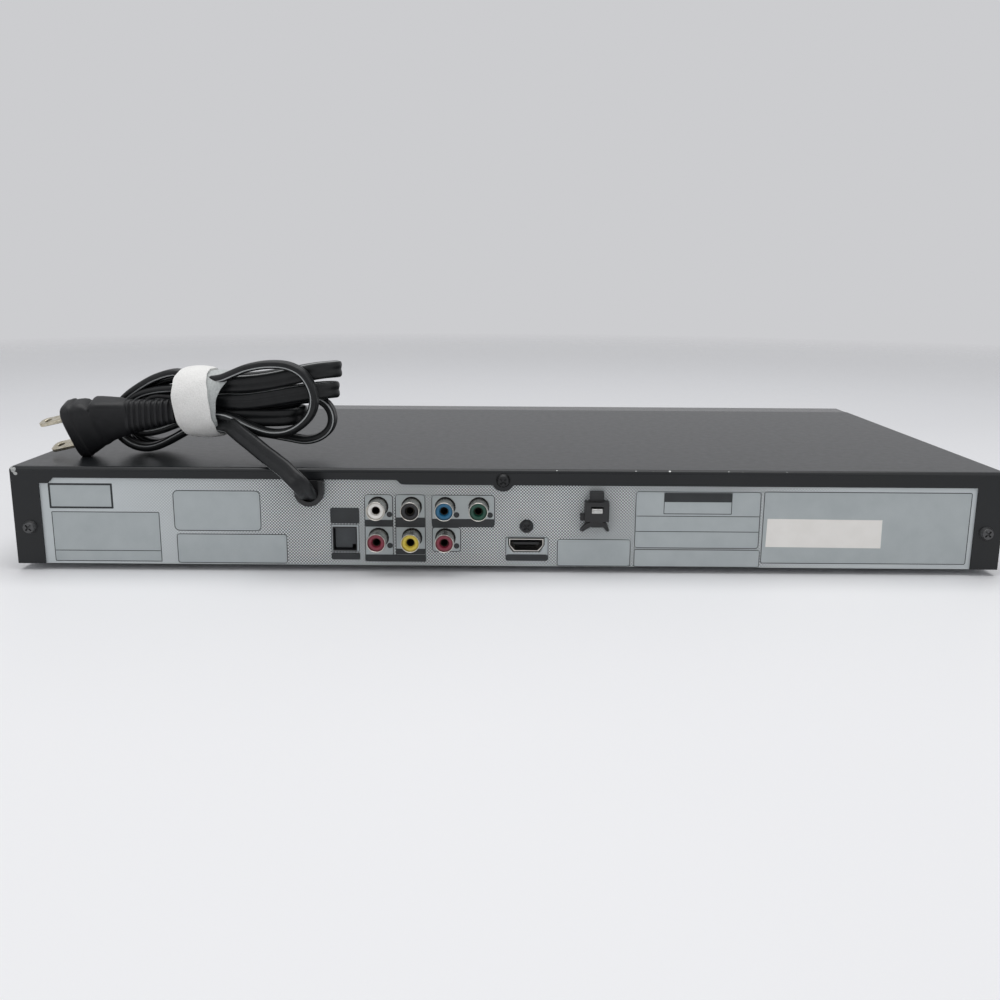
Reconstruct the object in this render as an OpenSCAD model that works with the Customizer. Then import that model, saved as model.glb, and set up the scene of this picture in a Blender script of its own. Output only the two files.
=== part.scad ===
// Slim disc player with a sliding tray, seen as a set of pieces that come apart on a bench.
// +Z is up, the tray opens towards -Y, and the sockets are on the +Y side.
// The origin is under the middle of the player, on the surface its feet stand on.

/* [Case] */
// Width of the steel cover
case_w = 430; // [430:1:440]
// Depth from the bezel's face to the cover's rear flange
case_d = 207; // [207:1:230]
// Height from the pan's underside to the cover's top
case_h = 43.5; // [43.5:0.5:60]
// Height of the rubber feet
foot_h = 3; // [2:0.5:8]
// Depth of the moulded bezel, front to back
bezel_d = 17; // [16:1:18]
// Wall of the moulded bezel
bezel_wall = 3; // [2.5:0.1:3]
// Thickness of the cover's sheet steel
cover_t = 0.8; // [0.6:0.1:1]
// Thickness of the pan's sheet steel
pan_t = 1; // [0.8:0.1:1.2]
// Radius of the cover's bent edges
bend_r = 1.6; // [1.2:0.1:3]

/* [Rear sockets] */
// Sideways spacing of the round jacks
jack_pitch_x = 14.6; // [14:0.1:15]
// Spacing of the two rows of round jacks
jack_pitch_z = 14; // [13.5:0.1:14.5]
// Outer radius of a round jack's shell
jack_r = 4.15; // [4.1:0.01:4.2]
// How far a round jack stands out past the cover's rear flange
jack_stand = 8.5; // [8:0.1:9.5]
// Height of the lower row of jacks above the pan
jack_low_z = 12.5; // [12:0.1:13]

/* [Disc loader] */
// Sideways place of the disc's centre
disc_x = -102; // [-104:1:-100]
// Distance from the bezel's face back to the disc's centre
disc_back = 84; // [83:1:85]
// Travel of the tray
tray_travel = 140; // [120:1:140]
// Radius of the full-size disc's recess
disc_r = 60.8; // [60.6:0.1:61]
// Drop of the traverse, in degrees
lift_deg = 3.5; // [2:0.1:3.5]
// Travel of the cam slide
cam_travel = 24; // [20:1:24]
// Travel of the pickup along its rods
pickup_travel = 33; // [30:1:33]

/* [Buttons] */
// How far the button caps stand out of the bezel
button_proud = 0.8; // [0.5:0.1:1.5]

/* [Mains cord] */
// Width of the flat twin cord
cord_w = 7.2; // [7:0.1:7.4]
// Thickness of the flat twin cord
cord_t = 3.4; // [3.2:0.1:3.6]

/* [Hidden] */
$fn = 48;
eps = 0.01;

// Planes of the case
half_d = (button_proud + case_d + jack_stand) / 2;
front_y = -half_d + button_proud;
flange_y = front_y + case_d;
panel_y = flange_y - cover_t;
panel_in_y = panel_y - cover_t;
base_z = foot_h;
floor_z = base_z + pan_t;
top_z = base_z + case_h;
half_w = case_w / 2;
pan_half_w = half_w - cover_t - 0.5;
rear_panel_top = top_z - cover_t - 0.9;
seam_y = front_y + bezel_d;
bezel_in_y = front_y + bezel_wall;

// Rear flange of the cover: outline heights below the top, and the side flanges' inner edge
side_flange_x = half_w - 12;
flange_thin = 5;
flange_deep = 7;
flange_step_x = 47;
flange_end_x = 196.5;
lobe_x = 2.1;
lobe_drop = 4.9;
lobe_r = 4.9;
side_screw_x = half_w - 6.7;
side_screw_z = base_z + 16.5;
screw_head_r = 3.1;
screw_hole_r = 1.7;
screw_shank_r = 1.45;
screw_head_t = 1.9;

// Columns of jacks from the screw side outwards, and their two rows
jack_x0 = 12.6;
jack_row = [base_z + jack_low_z, base_z + jack_low_z + jack_pitch_z];
jack_hole_r = jack_r + 0.35;
jack_wall = 0.6;
insert_r = jack_r - jack_wall - 0.05;
insert_bore_r = 1.75;
insert_recess = 0.7;
block_d = 11;
function jack_at(column, row) = [jack_x0 + column * jack_pitch_x, jack_row[row]];
jack_places = [[0, 1], [1, 1], [1, 0], [2, 1], [2, 0], [3, 1], [3, 0]];

// Digital video socket: a shell with a flat top and a narrower foot
video_x = -8.2;
video_z = base_z + 9.6;
video_w = 15;
video_h = 5.6;
video_foot = 10.8;
video_shell_d = 11.5;
video_screw_z = base_z + 18.1;

// Optical socket and its door
optical_x = 71.2;
optical_door_w = 9.5;
optical_door_h = 9.8;
optical_door_top = base_z + 16.8;
optical_door_t = 1.2;
optical_recess = 2.2;
optical_body_w = 12.4;
optical_body_d = 15;

// Clip on the rear panel
clip_x = -38.4;
clip_tongue_z = base_z + 26.2;

// Bushing of the mains cord
bushing_x = 85.6;
bushing_w = 12.5;
bushing_low = base_z + 27.2;
bushing_out = 5;
cord_exit_z = base_z + 32.2;

// Loader: walls, tray levels and the gear train in front of the traverse
disc_y = front_y + disc_back;
loader_y0 = front_y + 8;
loader_y1 = loader_y0 + 184;
loader_half_w = 76;
loader_wall = 3;
loader_z0 = floor_z + 1.5;
loader_floor_z = loader_z0 + 2;
loader_top_z = base_z + 34;
tray_half_w = 71.5;
tray_y0 = front_y + 7;
tray_y1 = tray_y0 + 165;
tray_low_z = base_z + 23;
tray_floor_z = base_z + 27;
tray_rim_z = base_z + 29.6;
tray_rail_z = base_z + 22;
slot_half_w = 22;
door_half_w = 71.7;
door_low_z = base_z + 18.5;
door_top_z = base_z + 33.9;
door_gap = 0.3;
rack_m = 1;
pinion_teeth = 16;
rack_line_x = disc_x + 56;
drive_x = rack_line_x - rack_m * pinion_teeth / 2;
gear_y = front_y + 29.4;
train_m = 0.8;
wheel_teeth = 40;
small_teeth = 12;
train_gap = train_m * (wheel_teeth + small_teeth) / 2;
idler_x = drive_x - train_gap;
motor_x = disc_x - 20;
motor_y = front_y + 27.4;
pulley_z = base_z + 17.5;
pulley_h = 3.4;
big_pulley_r = 10;
small_pulley_r = 3;
belt_gap = 0.12;
belt_t = 1;
axle_r = 1.5;
bore_r = axle_r + 0.06;
pressure = 20;
damper_places = [[disc_x - 82, front_y + 26], [disc_x + 82, front_y + 26],
                 [disc_x - 45, loader_y1 + 3.6], [disc_x + 45, loader_y1 + 3.6]];

// Traverse: hinge line at its rear, pins at its front
hinge_y = disc_y + 94;
hinge_z = base_z + 12.2;
hinge_r = 2;
deck_z = base_z + 11.5;
deck_t = 1.5;
deck_half_w = 38;
deck_y0 = disc_y - 28;
cam_plate_y = deck_y0 - 6;
cam_plate_t = 2.5;
cam_pin_r = 1.4;
cam_pin_xs = [disc_x - 24, disc_x + 14];
cam_drop = (hinge_y - cam_plate_y) * sin(lift_deg);
cam_slot_r = cam_pin_r + 0.25;
seat_z = base_z + 28.5;
rod_x = 22;
rod_z = base_z + 17;
rod_r = 1.5;
lens_y = disc_y + 25;
screw_x = disc_x + 29;

// Boards
board_z = floor_z + 3;
board_t = 1.6;
board_top = board_z + board_t;
main_screws = [[-6, 26], [90, 26], [-6, 90], [60, 60]];
supply_screws = [[105, -50], [200, -50], [105, 80], [200, 80]];
front_board_y = front_y + 10.5;
front_board_t = 1.6;
button_z = base_z + 27;
button_travel = 0.5;

// Push buttons: place, width, height and corner radius of each cap
button_places = [[112, 14, 6, 2], [134, 14, 6, 2], [156, 14, 6, 2], [190, 12, 12, 5.9]];

// Mains cord: route of the lead, then of the tail that leaves the hank inside the strap
lead_pts = [[85.6, 98.5, 35.2], [85.6, 103, 35.2], [85.6, 107, 37.2], [85.9, 110.5, 39.6], [86.8, 112, 41.6],
            [88.8, 111.5, 43.5], [91.7, 109, 45.5], [94.6, 106, 47.3], [98.1, 103, 48.9],
            [101.5, 100, 50.5], [105, 97, 52], [108.5, 94, 53.8], [112, 91, 55.6], [115.4, 88, 57.2],
            [118.8, 85, 58.9], [122, 82, 60.5], [125.2, 79, 62]];
lead_across = [0.55, 0, -0.83];
tail_pts = [[150, 78.2, 67.6], [143, 77.4, 68.6], [135, 76.6, 69.4], [126, 76, 70]];

// Hank: a waist inside the strap, a lobe of folds on each side
hank_y0 = flange_y - 44;
hank_mid_y = flange_y - 31.2;
hank_y1 = flange_y - 19.5;
waist_x0 = 127.4;
waist_x1 = 148;
waist_z = top_z + 24.6;
waist_h = 25;
waist_d = 17.8;
right_lobe = [94, top_z + 24.2, 17.8];
left_lobe = [167.5, top_z + 14.7, 12.3];
tie_x0 = 128.5;
tie_x1 = 147;
tie_t = 1.4;
tie_d = 29;

// Plug: seat and turn of its body, and the bent route of its ribbed sleeve
plug_at = [169.3, 76.6, 65];
plug_turn = [-19, 13, -3];
sleeve_pts = [[145.5, 78.2, 68.4], [149.8, 78.1, 67.8], [154.2, 77.9, 67.1], [158.4, 77.7, 66.5],
              [162.4, 77.4, 66], [166.4, 77, 65.5], [170, 76.6, 65]];

// ---------------------------------------------------------------- shared shapes

// Box between two corners
module block(x0, x1, y0, y1, z0, z1) {
    translate([x0, y0, z0]) cube([x1 - x0, y1 - y0, z1 - z0]);
}

// A flat outline drawn as (x, z), given a thickness along Y
module along_y(y0, length) {
    translate([0, y0 + length, 0]) rotate([90, 0, 0]) linear_extrude(length) children();
}

// A flat outline drawn as (y, z), given a thickness along X
module along_x(x0, length) {
    translate([x0, 0, 0]) rotate([90, 0, 90]) linear_extrude(length) children();
}

// A flat outline given a thickness along Z
module along_z(z0, length) {
    translate([0, 0, z0]) linear_extrude(length) children();
}

// Upright cylinder, and one that lies along Y
module post(x, y, z0, z1, r) {
    translate([x, y, z0]) cylinder(h = z1 - z0, r = r);
}
module pin_y(x, z, y0, y1, r) {
    translate([x, y0, z]) rotate([-90, 0, 0]) cylinder(h = y1 - y0, r = r);
}

// Rectangle with round corners, centred
module round_rect(w, h, r) {
    square([w - 2 * r, h], center = true);
    square([w, h - 2 * r], center = true);
    for (sx = [-1, 1], sy = [-1, 1]) {
        translate([sx * (w / 2 - r), sy * (h / 2 - r)]) circle(r);
    }
}

// Straight slot between two points
module slot_2d(a, b, r) {
    translate(a) circle(r);
    translate(b) circle(r);
    translate(a) rotate(atan2(b[1] - a[1], b[0] - a[0])) translate([0, -r]) square([norm(b - a), 2 * r]);
}

// Area that a belt round two circles encloses: an arc on each circle, joined by their tangents
function arc_points(c, r, a0, a1, steps) =
    [for (i = [0:steps]) let (a = a0 + (a1 - a0) * i / steps) c + r * [cos(a), sin(a)]];
module belt_2d(c1, r1, c2, r2) {
    lean = acos((r1 - r2) / norm(c2 - c1));
    along = atan2(c2[1] - c1[1], c2[0] - c1[0]);
    near = arc_points(c1, r1, along + lean, along + 360 - lean, 20);
    far = arc_points(c2, r2, along - lean, along + lean, 20);
    polygon(concat(near, far));
}

// Involute tooth: half its angle at radius r, then its outline
function involute(angle) = tan(angle) - angle * PI / 180;
function half_tooth(r, teeth, m, slack) =
    90 / teeth - slack / (m * teeth / 2) * 180 / PI
    + (involute(pressure) - involute(acos(min(1, m * teeth * cos(pressure) / 2 / r)))) * 180 / PI;
function tooth_radii(teeth, m) =
    let (base = m * teeth * cos(pressure) / 2, root = m * (teeth / 2 - 1.25), tip = m * (teeth / 2 + 1))
    let (start = max(base, root))
    concat(base > root ? [root] : [], [for (i = [0:3]) start + (tip - start) * i / 3]);
function gear_points(teeth, m, slack) =
    let (radii = tooth_radii(teeth, m), count = len(radii) - 1)
    [for (t = [0:teeth - 1], side = [-1, 1], i = [0:count])
        let (r = side < 0 ? radii[i] : radii[count - i])
        let (a = 360 * t / teeth + side * half_tooth(max(r, m * teeth * cos(pressure) / 2), teeth, m, slack))
        [r * cos(a), r * sin(a)]];
module gear_2d(teeth, m, slack) {
    polygon(gear_points(teeth, m, slack));
}

// Flat-sided tube along points: at each ring the section stands square to the route
function unit(v) = v / norm(v);
function route_dir(p, i) = unit(p[min(i + 1, len(p) - 1)] - p[max(i - 1, 0)]);
module route_tube(points, wide, thick, across0, across1, sides) {
    last = len(points) - 1;
    rings = [for (i = [0:last])
        let (d = route_dir(points, i))
        let (a = unit(across0 + (across1 - across0) * i / last))
        let (flat = unit(cross(d, a)), edge = cross(flat, d))
        [for (s = [0:sides - 1])
            points[i] + edge * wide / 2 * cos(360 * s / sides) + flat * thick / 2 * sin(360 * s / sides)]];
    verts = [for (ring = rings, v = ring) v];
    walls = [for (i = [0:last - 1], s = [0:sides - 1], half = [0, 1])
        let (n = (s + 1) % sides)
        half == 0 ? [i * sides + s, (i + 1) * sides + s, (i + 1) * sides + n]
                  : [i * sides + s, (i + 1) * sides + n, i * sides + n]];
    ends = [[for (s = [0:sides - 1]) s], [for (s = [sides - 1:-1:0]) last * sides + s]];
    polyhedron(verts, concat(walls, ends));
}

// ---------------------------------------------------------------- case

// Folded steel pan with drawn bosses, stiffening beads and slots under the supply
module chassis_pan() color("lightsteelblue") {
    y0 = front_y + bezel_wall + 1;
    bosses = concat(main_screws, supply_screws);
    difference() {
        union() {
            block(-pan_half_w, pan_half_w, y0, panel_in_y - 0.1, base_z, floor_z);
            for (s = [-1, 1]) {
                translate([s > 0 ? pan_half_w - pan_t : -pan_half_w, seam_y + 1, floor_z - eps])
                    cube([pan_t, panel_in_y - 1 - seam_y - 1, 12]);
            }
            for (p = bosses) {
                post(p[0], p[1], floor_z - eps, board_z, 3);
            }
            for (x = [-202, 92]) {
                block(x - 3, x + 3, -80, 60, floor_z - eps, floor_z + 1);
            }
        }
        for (p = bosses) {
            post(p[0], p[1], base_z - 1, board_z + 1, 1.3);
        }
        for (row = [0:1], i = [0:8]) {
            translate([118 + i * 8, -30 + row * 46, base_z - 1])
                linear_extrude(pan_t + 2) slot_2d([0, -14], [0, 14], 1.5);
        }
        for (x = [-60, 40], i = [0:4]) {
            translate([x + i * 8, -84, base_z - 1]) linear_extrude(pan_t + 2) slot_2d([0, -6], [0, 6], 1.5);
        }
    }
}

// Outline of the whole rear panel with every socket's hole
module rear_panel_outline() {
    difference() {
        translate([-pan_half_w, base_z]) square([2 * pan_half_w, rear_panel_top - base_z]);
        for (p = jack_places) {
            translate(jack_at(p[0], p[1])) circle(jack_hole_r);
        }
        translate([video_x, video_z]) video_outline(0.5);
        translate([video_x, video_screw_z]) circle(screw_shank_r);
        translate([optical_x - optical_door_w / 2 - 0.6, optical_door_top - optical_door_h - 0.6])
            square([optical_door_w + 1.2, optical_door_h + 1.2]);
        translate([bushing_x, bushing_low + 4.4]) circle(4.4);
        translate([bushing_x - 4.4, bushing_low + 4.4]) square([8.8, 20]);
        translate([clip_x - 3, base_z + 21.6]) square([6, 4.4]);
        for (s = [-1, 1]) {
            translate([s * side_screw_x, side_screw_z]) circle(screw_shank_r);
        }
        translate([lobe_x, top_z - lobe_drop]) circle(screw_shank_r);
    }
}

// Rear panel: flat sheet with forward flanges, and the tongue lanced out for the clip
module rear_panel() color("silver") {
    along_y(panel_in_y, cover_t) rear_panel_outline();
    fold_x = pan_half_w - pan_t - 0.3;
    fold_z = rear_panel_top - cover_t;
    block(-fold_x, fold_x, panel_in_y - 4, panel_in_y + eps, floor_z, floor_z + cover_t);
    for (run = [[-fold_x, bushing_x - 8], [bushing_x + 8, fold_x]]) {
        block(run[0], run[1], panel_in_y - 7, panel_in_y + eps, fold_z, rear_panel_top);
    }
    block(clip_x - 2.5, clip_x + 2.5, panel_y - eps, panel_y + 3, clip_tongue_z, clip_tongue_z + 1.2);
}

// Side profile and front profile of the cover's outer or inner skin
module cover_skin(inset) {
    intersection() {
        along_y(seam_y - 1, case_d) {
            translate([0, base_z + case_h / 2 - inset]) {
                round_rect(case_w - 2 * inset, case_h, bend_r - inset);
            }
            translate([-half_w + inset, base_z - 5]) square([case_w - 2 * inset, case_h / 2]);
        }
        along_x(-half_w, case_w) {
            y_mid = (seam_y + flange_y) / 2;
            translate([flange_y - inset - 60, base_z + case_h / 2 - inset]) {
                round_rect(120, case_h, bend_r - inset);
            }
            translate([seam_y - 2, base_z - 5]) square([flange_y - inset - seam_y + 2, case_h / 2]);
            translate([seam_y - 2, base_z - 5]) square([y_mid - seam_y, case_h + 5 - inset]);
        }
    }
}

// Opening that the rear flanges leave for the panel, with the lobe for the middle screw
module rear_window() {
    difference() {
        polygon([[side_flange_x, base_z - 9], [side_flange_x, top_z - 7.4], [flange_end_x + 2.4, top_z - 7.4],
                 [flange_end_x, top_z - flange_thin], [flange_step_x + 1.2, top_z - flange_thin],
                 [flange_step_x - 0.8, top_z - flange_deep], [-side_flange_x, top_z - flange_deep],
                 [-side_flange_x, base_z - 9]]);
        translate([lobe_x, top_z - lobe_drop]) circle(lobe_r);
        translate([lobe_x - lobe_r, top_z - lobe_drop]) square([2 * lobe_r, lobe_drop]);
    }
}

// Painted steel cover: top, two sides, and flanges turned in over the rear panel
module top_cover() color("dimgray") {
    difference() {
        cover_skin(0);
        difference() {
            cover_skin(cover_t);
            translate([-case_w, panel_y, -1]) cube([2 * case_w, 20, 100]);
        }
        block(-case_w, case_w, -case_w, case_w, -20, base_z);
        block(-case_w, case_w, seam_y - 9, seam_y, -20, 100);
        along_y(panel_y - 4, 10) rear_window();
        for (x = [-side_screw_x, side_screw_x]) {
            pin_y(x, side_screw_z, panel_y - 2, flange_y + 2, screw_hole_r);
        }
        pin_y(lobe_x, top_z - lobe_drop, panel_y - 2, flange_y + 2, screw_hole_r);
    }
}

// Moulded front: a shallow tray-shaped shell with the openings for door, window and buttons
module front_bezel() color("gray") {
    r = 2.5;
    mid_z = base_z + case_h / 2;
    difference() {
        along_y(front_y, bezel_d) translate([0, mid_z]) round_rect(case_w, case_h, r);
        along_y(bezel_in_y, bezel_d) translate([0, mid_z]) round_rect(case_w - 5, case_h - 5, 1.2);
        block(-pan_half_w - 0.2, pan_half_w + 0.2, bezel_in_y + 0.8, seam_y + 1, base_z - 1, floor_z + 0.2);
        block(disc_x - door_half_w - door_gap, disc_x + door_half_w + door_gap, front_y - 1, bezel_in_y + 1,
              door_low_z - door_gap, door_top_z + door_gap);
        along_y(front_y - 1, 3) translate([48, base_z + 27]) round_rect(92, 19, 1);
        along_y(front_y, 6) translate([48, base_z + 27]) round_rect(86, 15, 1);
        for (b = button_places) {
            along_y(front_y - 1, 6) translate([b[0], button_z]) {
                round_rect(b[1] + 0.6, b[2] + 0.6, b[3] + 0.3);
            }
        }
        along_y(front_y - 1, 1.8) translate([-half_w + 8, base_z + 9]) square([case_w - 16, 1.2]);
    }
    for (x = [2, 96, 176, 204]) {
        difference() {
            pin_y(x, base_z + 9, bezel_in_y - eps, front_board_y, 2.6);
            pin_y(x, base_z + 9, bezel_in_y + 2, front_board_y + 1, 1);
        }
    }
}

// Smoked window over the display, let into the bezel's face
module display_window() color("black") {
    along_y(front_y + 0.1, 1.8) translate([48, base_z + 27]) round_rect(91.6, 18.6, 0.8);
}

// Four rubber feet with a waist and a rounded tread
module feet() color("black") {
    for (x = [-172, 172], y = [front_y + 30, flange_y - 34]) {
        translate([x, y, 0]) rotate_extrude() {
            polygon([[0, 0], [8.4, 0], [9.4, 0.8], [9, foot_h], [2.6, foot_h], [2.6, 1.6], [0, 1.6]]);
        }
    }
}

// One pan-head screw with a cross recess, pointing into the case
module panel_screw(x, z, y, length) {
    difference() {
        union() {
            translate([x, y + screw_head_t, z]) rotate([90, 0, 0]) {
                cylinder(h = screw_head_t, r1 = 2.3, r2 = screw_head_r);
            }
            pin_y(x, z, y - length, y + eps, screw_shank_r - 0.1);
        }
        for (a = [45, 135]) {
            translate([x, y + screw_head_t, z]) rotate([0, a, 0]) cube([3.4, 1.8, 0.7], center = true);
        }
    }
}

// The three screws of the cover and the one beside the video socket
module case_screws() color("black") {
    panel_screw(-side_screw_x, side_screw_z, flange_y, 6);
    panel_screw(side_screw_x, side_screw_z, flange_y, 6);
    panel_screw(lobe_x, top_z - lobe_drop, flange_y, 6);
    panel_screw(video_x, video_screw_z, panel_y, 7);
}

// ---------------------------------------------------------------- sockets

// Moulded blocks that carry the round jacks, one for four and one for three
module jack_blocks() color("black") {
    y1 = panel_in_y - 0.1;
    low = board_top;
    high = jack_row[1] + 6.8;
    split_x = jack_x0 + 1.5 * jack_pitch_x;
    difference() {
        union() {
            block(jack_x0 - 7, split_x - 0.2, y1 - block_d, y1, low, high);
            block(split_x + 0.2, jack_x0 + 3 * jack_pitch_x + 7, y1 - block_d, y1, low, high);
        }
        for (p = jack_places) {
            pin_y(jack_at(p[0], p[1])[0], jack_at(p[0], p[1])[1], y1 - block_d + 2, y1 + 1, jack_r);
        }
        block(jack_x0 - 9, jack_x0 + 6.2, y1 - block_d - 1, y1 + 1, low - 1, jack_row[0] + 4.5);
        for (column = [1:3]) {
            x = jack_x0 + column * jack_pitch_x;
            block(x - 3, x + 3, y1 - block_d - 1, y1 - block_d + 1.2, low + 3, high - 3);
        }
    }
}

// Nickel shells: a rolled tube each, with a slit lip at the mouth
module jack_shells() color("silver") {
    for (p = jack_places) {
        at = jack_at(p[0], p[1]);
        difference() {
            union() {
                pin_y(at[0], at[1], panel_in_y - 5, half_d, jack_r);
                pin_y(at[0], at[1], panel_in_y + 0.9, panel_in_y + 1.7, jack_hole_r + 0.3);
            }
            pin_y(at[0], at[1], panel_in_y - 6, half_d + 1, jack_r - jack_wall);
        }
    }
}

// Coloured insert of one jack, drilled for the plug's pin
module jack_insert(column, row) {
    at = jack_at(column, row);
    difference() {
        pin_y(at[0], at[1], panel_in_y - 5, half_d - insert_recess, insert_r);
        pin_y(at[0], at[1], panel_in_y - 2, half_d, insert_bore_r);
    }
}
module insert_white() color("white") jack_insert(3, 1);
module insert_black() color("black") jack_insert(2, 1);
module insert_red() color("red") {
    jack_insert(3, 0);
    jack_insert(1, 0);
}
module insert_yellow() color("gold") jack_insert(2, 0);
module insert_blue() color("royalblue") jack_insert(1, 1);
module insert_green() color("green") jack_insert(0, 1);

// Mouth of the video socket: flat top, sides that draw in towards the foot
module video_outline(grow) {
    w = video_w / 2 + grow;
    foot = video_foot / 2 + grow;
    h = video_h / 2 + grow;
    polygon([[-w, h], [-w, -0.1], [-foot, -h], [foot, -h], [w, -0.1], [w, h]]);
}

// Folded shell of the video socket
module video_socket_shell() color("silver") {
    y1 = panel_y - 0.1;
    translate([video_x, 0, video_z]) difference() {
        union() {
            along_y(y1 - video_shell_d, video_shell_d) video_outline(0);
            for (s = [-1, 1]) {
                block(s * 6.6 - 0.5, s * 6.6 + 0.5, y1 - 9, y1 - 6, board_top - video_z, 0);
            }
        }
        along_y(y1 - video_shell_d + 0.5, video_shell_d) video_outline(-0.4);
    }
}

// Insulating tongue with its contact pads
module video_socket_tongue() color("black") {
    y1 = panel_y - 0.1;
    along_y(y1 - video_shell_d + 0.5, 2) translate([video_x, video_z]) video_outline(-0.6);
    block(video_x - 5.6, video_x + 5.6, y1 - video_shell_d + 2.4, y1 - 1.6, video_z - 0.2, video_z + 0.9);
}

// Optical socket: a hollow nose behind the panel, and the pivot ears of its door
module optical_socket() color("black") {
    y1 = panel_y;
    x0 = optical_x - optical_body_w / 2;
    door_w = optical_door_w / 2;
    high = optical_door_top;
    low = high - optical_door_h;
    difference() {
        union() {
            block(x0, x0 + optical_body_w, y1 - optical_body_d, panel_in_y - 0.1, low - 1.2, high + 1.6);
            block(optical_x - door_w - 0.5, optical_x + door_w + 0.5, panel_in_y - 1, y1 + 0.3, low - 0.5,
                  high + 0.5);
        }
        block(optical_x - door_w - 0.1, optical_x + door_w + 0.1, y1 - optical_body_d + 1.5, y1 + 1,
              low - 0.1, high + 0.1);
    }
    pin_y(optical_x, optical_door_top - 7.4, y1 - optical_body_d + 1, y1 - optical_body_d + 3, 1.1);
}

// Sprung door just inside the mouth of the optical socket, with one corner stepped
module optical_shutter() color("black") {
    w = optical_door_w / 2 - 0.15;
    along_y(panel_y - optical_recess - optical_door_t, optical_door_t) translate([optical_x, 0]) {
        difference() {
            translate([-w, optical_door_top - optical_door_h + 0.15]) square([2 * w, optical_door_h - 0.35]);
            translate([-w - 1, optical_door_top - optical_door_h - 1]) square([2.6, 2.8]);
        }
    }
}

// Black snap clip that stands on the rear panel, over the lanced tongue
module panel_clip() color("black") {
    z0 = base_z;
    along_y(panel_y, 2.6) translate([clip_x, 0]) {
        translate([-3, z0 + 29.9]) square([6, 4.3]);
        difference() {
            polygon([[5.2, z0 + 24.2], [7, z0 + 24.2], [7, z0 + 21.4], [-5.2, z0 + 21.4], [-5.2, z0 + 30],
                     [5.2, z0 + 30]]);
            translate([-2.6, z0 + 26]) square([5.2, 2.1]);
        }
    }
    along_y(panel_y + 2.5, 2.2) translate([clip_x, 0]) {
        difference() {
            translate([-5.2, z0 + 21.4]) square([10.4, 8.5]);
            translate([-2.6, z0 + 26]) square([5.2, 2.1]);
        }
    }
    along_y(panel_y, 3.4) translate([clip_x, 0]) {
        translate([-2.5, z0 + 18.6]) square([5, 3]);
        polygon([[2.5, z0 + 21], [2.5, z0 + 19], [5.8, z0 + 16.6], [7, z0 + 17.2], [4.4, z0 + 20.4]]);
        polygon([[-2.5, z0 + 21], [-2.5, z0 + 19], [-4.6, z0 + 16.6], [-5.8, z0 + 17.2], [-4.4, z0 + 20.4]]);
    }
    block(clip_x - 2.8, clip_x + 2.8, panel_in_y - 4, panel_y + 0.5, z0 + 21.8, z0 + 25.8);
}

// U-shaped bushing that grips the cord in the panel's open slot
module bushing_2d(half, low) {
    top = top_z - flange_thin - 0.2;
    intersection() {
        translate([bushing_x, low + half]) circle(half);
        translate([bushing_x - half, low]) square([2 * half, half + eps]);
    }
    translate([bushing_x - half, low + half]) square([2 * half, top - low - half]);
}
module cord_bushing() color("black") {
    difference() {
        union() {
            along_y(panel_y + 0.1, bushing_out - 1) bushing_2d(bushing_w / 2, bushing_low);
            along_y(panel_in_y - 0.5, 2.5) bushing_2d(4.25, bushing_low + 0.2);
            along_y(panel_in_y - 4, 3.6) bushing_2d(5.6, bushing_low - 0.6);
        }
        along_y(panel_in_y - 5, bushing_out + 12) {
            core = (cord_w - cord_t) / 2;
            slot_2d([bushing_x - core, cord_exit_z], [bushing_x + core, cord_exit_z], cord_t / 2);
        }
        along_y(panel_y + 1.6, 9) {
            half = cord_w / 2 + 0.4;
            translate([bushing_x, bushing_low + 6.1]) circle(half);
            translate([bushing_x - half, bushing_low + 6.1]) square([2 * half, 12]);
        }
    }
}

// ---------------------------------------------------------------- mains cord

// Free lead from the bushing to the hank, and the tail from the hank to the plug
module cord_lead() color("black") {
    route_tube(lead_pts, cord_w, cord_t, [1, 0, 0], lead_across, 8);
    route_tube(tail_pts, cord_w, cord_t, [0, 0, 1], [0, 0, 1], 8);
}

// Outline of the folds on the right of the strap, and of those on its left
module right_folds_2d() {
    c = [right_lobe[0], right_lobe[1]];
    r = right_lobe[2];
    polygon(concat([[waist_x0, waist_z - waist_h / 2], [waist_x0, waist_z + waist_h / 2]],
                   arc_points(c, r, 76, 284, 18)));
}
module left_folds_2d() {
    c = [left_lobe[0], left_lobe[1]];
    r = left_lobe[2];
    polygon(concat([[waist_x1, waist_z + waist_h / 2], [waist_x1, waist_z - waist_h / 2], [155, top_z + 6]],
                   arc_points(c, r, -100, 44, 14),
                   [[170, top_z + 30], [161, top_z + 35], [152, top_z + 37.6]]));
}

// The folded hank as one bundle: the left folds lie behind the plug's sleeve
module cord_hank() color("black") {
    along_y(hank_y0, hank_y1 - hank_y0) right_folds_2d();
    along_y(hank_y0, hank_mid_y - hank_y0) left_folds_2d();
    along_x(waist_x0 - eps, waist_x1 - waist_x0 + 2 * eps) {
        translate([hank_y0 + waist_d / 2, waist_z]) round_rect(waist_d, waist_h, 8);
    }
}

// White strap wound round the waist of the hank and the end of the plug's sleeve
module cord_tie() color("white") {
    inner_h = waist_h + 0.2;
    inner_d = tie_d - 2 * tie_t;
    along_x(tie_x0, tie_x1 - tie_x0) translate([hank_y0 - 0.1 + inner_d / 2, waist_z]) {
        difference() {
            round_rect(tie_d, inner_h + 2 * tie_t, 9);
            round_rect(inner_d, inner_h, 7.6);
        }
    }
}

// Places a shape drawn along +X at the plug's seat, nose down and away from the sockets
module plug_frame() {
    translate(plug_at) rotate([0, plug_turn[1], plug_turn[2]]) rotate([plug_turn[0], 0, 0]) children();
}

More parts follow.
